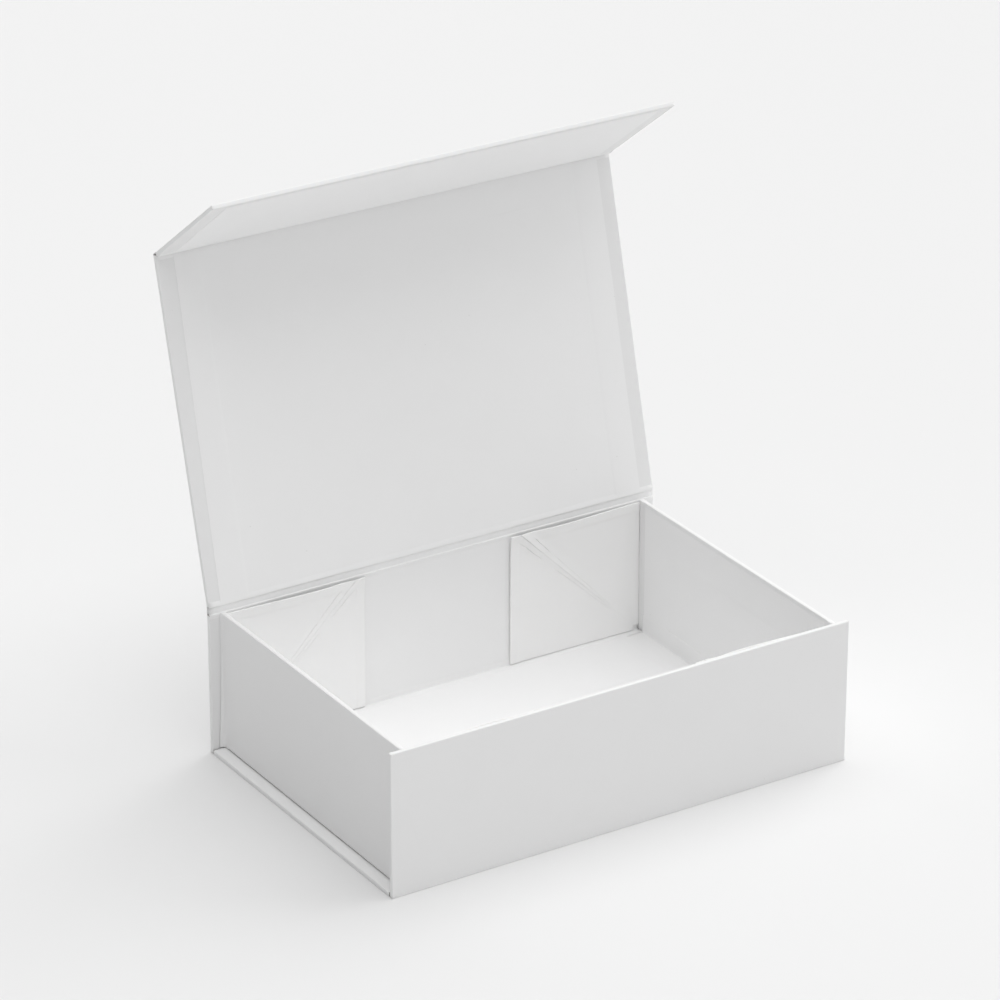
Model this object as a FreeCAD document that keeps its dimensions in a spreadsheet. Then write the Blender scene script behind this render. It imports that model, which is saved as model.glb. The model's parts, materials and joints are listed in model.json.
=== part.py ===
import FreeCAD, Part
import os
import re
import Sketcher

# Flat-pack rigid gift box with a magnetic flap, in millimetres.
#
# One long strip of paper-covered greyboard makes the front wall, the base, the back wall, the lid
# and the flap. Two side walls stand on the base, set in from its ends, and a folding card gusset
# in each corner joins them to the front and back walls, so that the box collapses flat.
#
# Frame: origin at the centre of the base's underside, +X along the width, +Y to the back and
# +Z up. It stands erect with the lid thrown back and the flap half bent.
#
# Every flat panel is drawn in its own frame and then placed: x runs along its fold line, y away
# from the fold line and z from its outer face to its inner face.

DIMENSIONS = [
    ("case_width", 230, "length of the strip's panels, end to end"),
    ("case_depth", 153.5, "front wall's outer face to back wall's outer face"),
    ("wall_height", 67.5, "underside of the base to the top of the walls"),
    ("flap_length", 66, "lid's front fold to the flap's free edge"),
    ("board_thickness", 1.8, "greyboard"),
    ("wrap_thickness", 0.14, "outer covering paper"),
    ("lining_thickness", 0.14, "inner lining paper"),
    ("turn_in", 20, "outer paper folded over onto the inner face"),
    ("lining_inset", 7, "lining's edge from the panel's end"),
    ("lining_drop", 2, "lining's edge from the top of a wall or the flap's free edge"),
    ("side_inset", 5.6, "side wall's outer face from the end of the base"),
    ("fold_relief", 0.3, "stiff panel's edge from its fold line"),
    ("floor_clearance", 0.1, "side wall's fold line above the floor lining"),
    ("lid_clearance", 0.3, "lid's inner face above the walls when shut"),
    ("hinge_relief", 0.5, "back wall's stiff edge below the lid's lower fold line"),
    ("flap_clearance", 0.3, "flap's inner face from the front wall when shut"),
    ("lid_open_angle", 104.5, "lid from its shut position"),
    ("flap_fold_angle", 67.3, "flap from the lid's plane"),
    ("gusset_thickness", 0.6, "folding gusset card"),
    ("gusset_drop", 1.0, "gusset's top edge below the wall's"),
    ("gusset_gap", 0.4, "each half of a gusset from its crease, and the free half from its side wall"),
    ("gusset_trim", 2.6, "gusset's bottom corner, cut away so that the folds can meet"),
    ("tape_thickness", 0.2, "double-sided tape under a gusset's free half"),
    ("tape_width", 12, "tape pad along the wall"),
    ("tape_height", 24, "tape pad up the wall"),
    ("tape_margin", 6, "tape pad from the gusset's outer and top edges"),
    ("corner_space", 2.5, "side wall's end from the gusset's face"),
    ("hinge_leg", 9, "each leg of the paper hinge along a side wall's foot"),
    ("magnet_diameter", 12, "flap magnet"),
    ("magnet_thickness", 1.4, "flap magnet"),
    ("magnet_spacing", 150, "between the two magnets"),
    ("magnet_margin", 16, "magnet's centre from the flap's free edge"),
    ("keeper_diameter", 14, "steel keeper disc in the front wall"),
    ("keeper_thickness", 0.5, "steel keeper disc in the front wall"),
    ("pocket_clearance", 0.1, "around a disc in its pocket"),
]

DERIVED = [
    # Stack of a panel, from its outer face: wrap, board, turned-in wrap, lining.
    ("board_top", "wrap_thickness + board_thickness"),
    ("turn_top", "board_top + wrap_thickness"),
    ("panel", "turn_top + lining_thickness"),
    # Plan of the case.
    ("half_width", "case_width / 2"),
    ("half_depth", "case_depth / 2"),
    ("board_half", "half_width - wrap_thickness"),
    ("turn_half", "half_width - turn_in"),
    ("lining_half", "half_width - lining_inset"),
    ("base_half", "half_depth - panel - fold_relief"),
    ("side_face", "half_width - side_inset"),
    ("corner_x", "side_face - panel"),
    ("corner_y", "half_depth - panel"),
    ("side_half", "corner_y - tape_thickness - gusset_thickness - corner_space"),
    ("side_foot", "panel + floor_clearance"),
    # Lid and flap.
    ("lid_level", "wall_height + lid_clearance + panel"),
    ("lid_length", "case_depth + flap_clearance + panel"),
    ("flap_start", "panel + lid_clearance"),
    ("lid_tilt", "180 - lid_open_angle"),
    ("flap_tilt", "lid_tilt + flap_fold_angle"),
    ("flap_fold_y", "half_depth + lid_length * cos(lid_tilt)"),
    ("flap_fold_z", "lid_level + lid_length * sin(lid_tilt)"),
    # Gussets, measured from the bottom corner where the three panels meet.
    ("gusset_size", "wall_height - panel - gusset_drop"),
    ("gusset_top", "wall_height - gusset_drop"),
    ("gusset_face", "panel + tape_thickness"),
    # Discs: where the shut flap brings each magnet against its keeper.
    ("magnet_place", "flap_length - magnet_margin"),
    ("keeper_place", "lid_level - magnet_place"),
    ("magnet_pocket", "magnet_diameter / 2 + pocket_clearance"),
    ("keeper_pocket", "keeper_diameter / 2 + pocket_clearance"),
]

# Fold line of each panel: a point on it, the turn about Z and the tilt about the panel's own x.
POSES = {
    "base": ("0; 0; 0", "0", "0"),
    "front_wall": ("0; -half_depth; 0", "180", "90"),
    "back_wall": ("0; half_depth; 0", "0", "90"),
    "left_wall": ("-side_face; 0; 0", "90", "90"),
    "right_wall": ("side_face; 0; 0", "-90", "90"),
    "lid": ("0; half_depth; lid_level", "0", "lid_tilt"),
    "flap": ("0; flap_fold_y; flap_fold_z", "0", "flap_tilt"),
}

doc = FreeCAD.newDocument("gift_box")
parts = []


# ---------------------------------------------------------------- document helpers

def make_sheet():
    """The driving dimensions, one row each: alias, value and what it is."""
    sheet = doc.addObject("Spreadsheet::Sheet", "Dimensions")
    for row, (alias, value, meaning) in enumerate(DIMENSIONS, start=1):
        sheet.set(f"A{row}", alias)
        sheet.set(f"B{row}", str(value))
        sheet.set(f"C{row}", meaning)
        sheet.setAlias(f"B{row}", alias)
    doc.recompute()


def bind(text):
    """Turn the plain names in an expression into references to the document's own values."""
    sheet_names = {alias for alias, value, meaning in DIMENSIONS}
    derived_names = {name for name, formula in DERIVED}

    def reference(match):
        word = match.group(0)
        if word in sheet_names:
            return f"Dimensions.{word}"
        if word in derived_names:
            return f"Derived.{word}"
        return word

    return re.sub(r"[a-z_]+[a-z]", reference, text)


def make_derived():
    """The sizes and fold lines that follow from the driving dimensions."""
    derived = doc.addObject("App::VarSet", "Derived")
    for name, formula in DERIVED:
        derived.addProperty("App::PropertyFloat", name)
        derived.setExpression(name, bind(formula))
    doc.recompute()
    poses = doc.addObject("App::VarSet", "Poses")
    for name, (point, turn, tilt) in POSES.items():
        poses.addProperty("App::PropertyPlacement", name)
        rotation = f"rotation(vector(0; 0; 1); {turn}) * rotation(vector(1; 0; 0); {tilt})"
        poses.setExpression(name, bind(f"placement(vector({point}); {rotation})"))
    doc.recompute()
    return derived


def number(text):
    """The value of an expression now, to start a sketch near its solution."""
    return float(derived.evalExpression(bind(text)))


def draw_outline(sketch, corners):
    """Closed outline through corners, each pinned to the sheet by its distance from the origin."""
    first = sketch.GeometryCount
    places = [FreeCAD.Vector(number(across), number(along)) for across, along in corners]
    for index, start in enumerate(places):
        end = places[(index + 1) % len(places)]
        sketch.addGeometry(Part.LineSegment(start, end))
    for index in range(len(corners)):
        following = (index + 1) % len(corners)
        sketch.addConstraint(
            Sketcher.Constraint("Coincident", first + index, 2, first + following, 1))
    for index, corner in enumerate(corners):
        for kind, value, formula in zip(("DistanceX", "DistanceY"), places[index], corner):
            pinned = sketch.addConstraint(
                Sketcher.Constraint(kind, -1, 1, first + index, 1, value))
            name = f"{kind}_{first + index}"
            sketch.renameConstraint(pinned, name)
            sketch.setExpression(f"Constraints.{name}", bind(formula))


def draw_circle(sketch, across, along, radius):
    """Circle whose centre and radius are pinned to the sheet."""
    index = sketch.GeometryCount
    centre = FreeCAD.Vector(number(across), number(along))
    sketch.addGeometry(Part.Circle(centre, FreeCAD.Vector(0, 0, 1), number(radius)))
    pins = [
        ("DistanceX", (-1, 1, index, 3, centre.x), across),
        ("DistanceY", (-1, 1, index, 3, centre.y), along),
        ("Radius", (index, number(radius)), radius),
    ]
    for kind, target, formula in pins:
        pinned = sketch.addConstraint(Sketcher.Constraint(kind, *target))
        name = f"{kind}_{index}"
        sketch.renameConstraint(pinned, name)
        sketch.setExpression(f"Constraints.{name}", bind(formula))


def add_sketch(body, name, level):
    """Sketch parallel to the panel's outer face, at a level above it."""
    plane = [item for item in body.Origin.OriginFeatures if item.Role == "XY_Plane"][0]
    sketch = body.newObject("Sketcher::SketchObject", f"{body.Label}_{name}_sketch")
    sketch.AttachmentSupport = [(plane, "")]
    sketch.MapMode = "FlatFace"
    sketch.setExpression("AttachmentOffset.Base.z", bind(level))
    return sketch


def add_layer(body, name, outlines, bottom, top):
    """Pad outlines from one level of the panel's stack to another."""
    sketch = add_sketch(body, name, bottom)
    for corners in outlines:
        draw_outline(sketch, corners)
    layer = body.newObject("PartDesign::Pad", f"{body.Label}_{name}")
    layer.Profile = sketch
    layer.setExpression("Length", bind(f"({top}) - ({bottom})"))
    return layer


def add_pockets(body, name, centres, radius, bottom, top):
    """Round pockets between two levels, each cut down from the upper one."""
    doc.recompute()
    before = body.Shape.Volume
    sketch = add_sketch(body, name, top)
    for across, along in centres:
        draw_circle(sketch, across, along, radius)
    pocket = body.newObject("PartDesign::Pocket", f"{body.Label}_{name}")
    pocket.Profile = sketch
    pocket.setExpression("Length", bind(f"({top}) - ({bottom})"))
    doc.recompute()
    if body.Shape.Volume >= before:
        raise RuntimeError(f"{pocket.Name} cuts nothing")


def new_part(label, pose):
    """Body of one separate piece, placed by its panel's fold line."""
    body = doc.addObject("PartDesign::Body", label)
    body.Label = label
    body.setExpression("Placement", f"Poses.{pose}")
    parts.append(body)
    return body


# ---------------------------------------------------------------- outlines

def rectangle(low_x, high_x, low_y, high_y):
    """Corners of a rectangle."""
    return [(low_x, low_y), (high_x, low_y), (high_x, high_y), (low_x, high_y)]


def centred(half, start, end):
    """Corners of a rectangle that is centred on the panel."""
    return rectangle(f"-({half})", half, start, end)


def rim(outer, inner, start, end, inner_end=None):
    """Two strips along a panel's ends, or one U when they join along its far edge too."""
    if inner_end is None:
        return [
            rectangle(f"-({outer})", f"-({inner})", start, end),
            rectangle(inner, outer, start, end),
        ]
    return [[
        (f"-({outer})", start), (f"-({inner})", start), (f"-({inner})", inner_end),
        (inner, inner_end), (inner, start), (outer, start), (outer, end), (f"-({outer})", end),
    ]]


# ---------------------------------------------------------------- pieces

def make_board(label, pose, half, start, end):
    """Greyboard plate of a panel."""
    body = new_part(label, pose)
    add_layer(body, "plate", [centred(half, start, end)], "wrap_thickness", "board_top")
    return body


def make_wrap(label, pose, half, start, end, closed_end):
    """Covering paper: outer sheet, folded edges and turn-ins on the inner face."""
    body = new_part(label, pose)
    edge_end = f"{end} - wrap_thickness" if closed_end else None
    turn_end = f"{end} - turn_in" if closed_end else None
    edges = rim(half, f"{half} - wrap_thickness", start, end, edge_end)
    turns = rim(half, f"{half} - turn_in", start, end, turn_end)
    add_layer(body, "sheet", [centred(half, start, end)], "0", "wrap_thickness")
    add_layer(body, "edges", edges, "wrap_thickness", "board_top")
    add_layer(body, "turns", turns, "board_top", "turn_top")


def make_lining(label, pose, half, inset, start, end, closed_end):
    """Lining paper, which rides over the turn-ins of the wrap and lies on the board between."""
    body = new_part(label, pose)
    drop = "lining_drop" if closed_end else "0"
    low_end = f"{end} - turn_in" if closed_end else end
    over_end = f"{low_end} - lining_thickness" if closed_end else None
    window = f"{half} - turn_in"
    over = rim(f"{half} - {inset}", f"{window} - lining_thickness", start, f"{end} - {drop}", over_end)
    add_layer(body, "field", [centred(window, start, low_end)], "board_top", "turn_top")
    add_layer(body, "margin", over, "turn_top", "panel")


def make_panel(name, pose, start, end, closed_end):
    """Board, wrap and lining of one full-width panel of the strip."""
    board_end = f"{end} - wrap_thickness" if closed_end else end
    board = make_board(f"{name}_board", pose, "board_half", start, board_end)
    make_wrap(f"{name}_wrap", pose, "half_width", start, end, closed_end)
    make_lining(f"{name}_lining", pose, "half_width", "lining_inset", start, end, closed_end)
    return board


def make_strip(label, pose, half, start, end, bottom, top):
    """Plain strip of paper across a fold."""
    body = new_part(label, pose)
    add_layer(body, "strip", [centred(half, start, end)], bottom, top)


def make_side_wall(side):
    """Side wall, its paper hinge along the floor and the papers round its two ends."""
    pose = f"{side}_wall"
    make_board(f"{side}_wall_board", pose, "side_half - wrap_thickness", "side_foot + fold_relief",
               "wall_height - wrap_thickness")
    make_wrap(f"{side}_wall_wrap", pose, "side_half", "side_foot + fold_relief", "wall_height", True)
    make_lining(f"{side}_wall_lining", pose, "side_half", "lining_drop", "side_foot + fold_relief",
                "wall_height", True)
    hinge = new_part(f"{side}_wall_hinge_paper", pose)
    foot_top = "panel + lining_thickness"
    add_layer(hinge, "wall_leg", [centred("side_half", "panel", "panel + hinge_leg")],
              "panel", "panel + lining_thickness")
    add_layer(hinge, "floor_leg", [centred("side_half", "panel", foot_top)],
              "panel", "panel + hinge_leg")
    ends = {"front": -1, "back": 1} if side == "left" else {"front": 1, "back": -1}
    for end, sign in ends.items():
        near = f"{sign} * (side_half + wrap_thickness)"
        far = f"{sign} * (corner_y - wrap_thickness)"
        low, high = (near, far) if sign > 0 else (far, near)
        paper = new_part(f"{side}_{end}_corner_paper", pose)
        outline = rectangle(low, high, "side_foot + fold_relief", "gusset_top")
        add_layer(paper, "band", [outline], "0", "wrap_thickness")


def make_gusset(wall, side):
    """One corner gusset: the half glued to the wall, the tape pad and the free half."""
    pose = f"{wall}_wall"
    # The front wall's x axis points left and the back wall's points right.
    sign = 1 if (wall, side) in (("front", "left"), ("back", "right")) else -1

    def place(inward, upward):
        return (f"{sign} * (corner_x - ({inward}))", f"panel + ({upward})")

    fixed = new_part(f"{wall}_{side}_gusset_fixed", pose)
    fixed_corners = [
        place("gusset_trim", "gusset_gap"),
        place("gusset_size", "gusset_gap"),
        place("gusset_size", "gusset_size - gusset_gap"),
        place("gusset_trim", "gusset_trim - gusset_gap"),
    ]
    add_layer(fixed, "card", [fixed_corners], "panel", "panel + gusset_thickness")

    free = new_part(f"{wall}_{side}_gusset_free", pose)
    free_corners = [
        place("gusset_gap", "gusset_trim"),
        place("gusset_trim - gusset_gap", "gusset_trim"),
        place("gusset_size - gusset_gap", "gusset_size"),
        place("gusset_gap", "gusset_size"),
    ]
    add_layer(free, "card", [free_corners], "gusset_face", "gusset_face + gusset_thickness")

    tape = new_part(f"{wall}_{side}_gusset_tape", pose)
    tape_corners = [
        place("tape_margin", "gusset_size - tape_margin - tape_height"),
        place("tape_margin + tape_width", "gusset_size - tape_margin - tape_height"),
        place("tape_margin + tape_width", "gusset_size - tape_margin"),
        place("tape_margin", "gusset_size - tape_margin"),
    ]
    add_layer(tape, "pad", [tape_corners], "panel", "gusset_face")


def make_discs(kind, pose, along, radius, bottom, top):
    """A pair of round discs, set either side of the middle."""
    for side, sign in (("left", -1), ("right", 1)):
        # The front wall's x axis points left.
        across = f"{-sign if pose == 'front_wall' else sign} * magnet_spacing / 2"
        body = new_part(f"{kind}_{side}", pose)
        sketch = add_sketch(body, "disc", bottom)
        draw_circle(sketch, across, along, radius)
        disc = body.newObject("PartDesign::Pad", f"{body.Label}_disc")
        disc.Profile = sketch
        disc.setExpression("Length", bind(f"({top}) - ({bottom})"))


def make_base():
    """Base panel and the two paper folds that carry the front and back walls."""
    make_panel("base", "base", "-base_half", "base_half", False)
    make_strip("back_fold_paper", "base", "half_width", "base_half", "half_depth - fold_relief",
               "0", "wrap_thickness")
    make_strip("front_fold_paper", "base", "half_width", "fold_relief - half_depth", "-base_half",
               "0", "wrap_thickness")


def make_front_wall():
    """Front wall with its steel keepers."""
    board = make_panel("front_wall", "front_wall", "fold_relief", "wall_height", True)
    pair = [("-magnet_spacing / 2", "keeper_place"), ("magnet_spacing / 2", "keeper_place")]
    keeper_top = "wrap_thickness + keeper_thickness"
    add_pockets(board, "keeper_pockets", pair, "keeper_pocket", "wrap_thickness", keeper_top)
    make_discs("keeper_disc", "front_wall", "keeper_place", "keeper_diameter / 2",
               "wrap_thickness", keeper_top)


def make_back_wall():
    """Back wall and the strip of paper, lined inside, that lifts the lid clear of the walls."""
    make_panel("back_wall", "back_wall", "fold_relief", "wall_height - hinge_relief", False)
    strip_start = "wall_height"
    strip_end = "lid_level - wrap_thickness"
    make_strip("lid_hinge_paper", "back_wall", "half_width", strip_start, strip_end,
               "0", "wrap_thickness")
    make_strip("lid_hinge_lining", "back_wall", "lining_half", strip_start, strip_end,
               "wrap_thickness", "wrap_thickness + lining_thickness")


def make_lid():
    """Lid panel."""
    make_panel("lid", "lid", "fold_relief", "lid_length - fold_relief", False)


def make_flap():
    """Flap with its magnets, and the paper fold, lined inside, that joins it to the lid."""
    board = make_panel("flap", "flap", "flap_start", "flap_length", True)
    pair = [("-magnet_spacing / 2", "magnet_place"), ("magnet_spacing / 2", "magnet_place")]
    magnet_low = "board_top - magnet_thickness"
    add_pockets(board, "magnet_pockets", pair, "magnet_pocket", magnet_low, "board_top")
    make_discs("flap_magnet", "flap", "magnet_place", "magnet_diameter / 2",
               magnet_low, "board_top")
    make_strip("flap_fold_paper", "flap", "half_width", "fold_relief", "flap_start",
               "0", "wrap_thickness")
    make_strip("flap_fold_lining", "flap", "lining_half", "fold_relief", "flap_start",
               "wrap_thickness", "wrap_thickness + lining_thickness")


# ---------------------------------------------------------------- checks and files

def check_document():
    """Stop if any object failed or any piece is not one sound solid."""
    for item in doc.Objects:
        if "Invalid" in item.State or "Error" in item.State:
            raise RuntimeError(f"{item.Name} did not recompute: {item.State}")
    for part in parts:
        shape = part.Shape
        if shape.isNull() or not shape.isValid() or len(shape.Solids) != 1:
            raise RuntimeError(f"{part.Label} is not one valid solid")


def write_parts():
    """One STEP file for each piece."""
    os.makedirs("parts", exist_ok=True)
    for part in parts:
        part.Shape.exportStep(f"parts/{part.Label}.step")
    print(f"{len(parts)} pieces written")


make_sheet()
derived = make_derived()
make_base()
make_front_wall()
make_back_wall()
for wall_name in ("front", "back"):
    for side_name in ("left", "right"):
        make_gusset(wall_name, side_name)
for side_name in ("left", "right"):
    make_side_wall(side_name)
make_lid()
make_flap()
doc.recompute()
check_document()
write_parts()
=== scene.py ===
"""White flat-pack gift box with a magnetic flap, dressed for a plain studio.

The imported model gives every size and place. A panel of the box is a greyboard core in a covering
paper whose edges turn in under a lining paper. Soft strips of paper join the panels at their
folds, and a folding card gusset stands in each corner of the case. All lengths are metres.
"""
import json
import logging
import math
from dataclasses import dataclass, field
from enum import Enum
from typing import Any, Callable, Sequence

import bmesh
import bpy
import numpy as np
from mathutils import Matrix, Vector


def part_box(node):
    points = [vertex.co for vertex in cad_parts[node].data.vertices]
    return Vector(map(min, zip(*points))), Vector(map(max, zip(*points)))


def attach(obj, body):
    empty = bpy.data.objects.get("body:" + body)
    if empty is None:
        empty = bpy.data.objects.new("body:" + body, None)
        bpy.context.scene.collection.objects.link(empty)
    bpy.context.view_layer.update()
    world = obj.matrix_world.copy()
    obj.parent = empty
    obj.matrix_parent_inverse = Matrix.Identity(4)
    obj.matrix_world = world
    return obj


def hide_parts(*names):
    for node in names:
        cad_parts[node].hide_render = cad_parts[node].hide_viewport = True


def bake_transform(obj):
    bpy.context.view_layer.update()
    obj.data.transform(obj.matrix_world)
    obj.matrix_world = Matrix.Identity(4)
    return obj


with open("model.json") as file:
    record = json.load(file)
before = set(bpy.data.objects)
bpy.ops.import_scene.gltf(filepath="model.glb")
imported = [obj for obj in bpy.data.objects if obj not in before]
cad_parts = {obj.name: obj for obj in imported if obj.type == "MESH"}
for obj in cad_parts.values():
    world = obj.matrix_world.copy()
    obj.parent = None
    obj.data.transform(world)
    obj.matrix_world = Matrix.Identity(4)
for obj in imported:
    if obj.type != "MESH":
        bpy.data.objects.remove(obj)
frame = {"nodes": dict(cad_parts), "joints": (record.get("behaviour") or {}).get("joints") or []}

LOG = logging.getLogger("gift_box")
MM = 0.001


# ------------------------------------------------------------------ nodes

class NodeWriter:
    """Adds nodes to one node tree and links them as it goes."""

    def __init__(self, tree: bpy.types.NodeTree) -> None:
        """Keeps the tree that the nodes go into.

        Args:
            tree: a shader, geometry or group tree.
        """
        self.tree = tree
        self.count = 0

    def add(self, kind: str, inputs: dict[Any, Any] | None = None, **settings: Any) -> bpy.types.Node:
        """Adds one node.

        Args:
            kind: the node's type name.
            inputs: socket name or number to a value, or to a socket to link from.
            settings: properties of the node, set before its inputs.

        Returns:
            The new node.
        """
        node = self.tree.nodes.new(kind)
        node.location = (self.count % 8 * 220, -(self.count // 8) * 260)
        self.count += 1
        for name, value in settings.items():
            setattr(node, name, value)
        for key, value in (inputs or {}).items():
            socket = node.inputs[key]
            if isinstance(value, bpy.types.NodeSocket):
                self.tree.links.new(value, socket)
            else:
                socket.default_value = value
        return node

    def math(self, operation: str, first: Any, second: Any = 0.0) -> bpy.types.NodeSocket:
        """Result socket of a scalar sum, product or other operation."""
        return self.add("ShaderNodeMath", {0: first, 1: second}, operation=operation).outputs[0]

    def vector(self, operation: str, first: Any, second: Any = None) -> bpy.types.NodeSocket:
        """Result socket of a vector operation on one or two vectors."""
        inputs = {0: first} if second is None else {0: first, 1: second}
        return self.add("ShaderNodeVectorMath", inputs, operation=operation).outputs[0]

    def scaled(self, vector: Any, factor: Any) -> bpy.types.NodeSocket:
        """Result socket of a vector times a number."""
        node = self.add("ShaderNodeVectorMath", {0: vector, "Scale": factor}, operation="SCALE")
        return node.outputs[0]

    def centred(self, noise: Any, amount: Any) -> bpy.types.NodeSocket:
        """Result socket of a noise value less its middle, times an amount."""
        return self.math("MULTIPLY", self.math("SUBTRACT", noise, 0.5), amount)

    def group(self, tree: bpy.types.NodeTree, inputs: dict[Any, Any]) -> bpy.types.Node:
        """New node that runs a shader group on some inputs."""
        return self.add("ShaderNodeGroup", inputs, node_tree=tree)

    def mixed(self, factor: Any, first: Any, tint: tuple[float, float, float]) -> bpy.types.NodeSocket:
        """Result socket of a colour mixed with a tint."""
        node = self.add("ShaderNodeMix", {0: factor, 6: first, 7: (*tint, 1.0)}, data_type="RGBA")
        return node.outputs[2]

    def ramp(self, value: Any, low: Any, high: Any, start: float, end: float) -> bpy.types.NodeSocket:
        """Result socket of a smooth clamped ramp from start at low to end at high."""
        inputs = {"Value": value, "From Min": low, "From Max": high, "To Min": start, "To Max": end}
        return self.add("ShaderNodeMapRange", inputs, interpolation_type="SMOOTHSTEP").outputs[0]


def new_sockets(tree: bpy.types.NodeTree, side: str, sockets: Sequence[tuple[str, str, Any]]) -> None:
    """Names a group's inputs or outputs.

    Args:
        tree: the group.
        side: INPUT or OUTPUT.
        sockets: name, socket type and default value of each, with None for no default.
    """
    for name, kind, default in sockets:
        socket = tree.interface.new_socket(name=name, in_out=side, socket_type=kind)
        if default is not None:
            socket.default_value = default


FLOAT = "NodeSocketFloat"
VECTOR = "NodeSocketVector"
INTEGER = "NodeSocketInt"
GEOMETRY = "NodeSocketGeometry"
MATERIAL = "NodeSocketMaterial"


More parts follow.
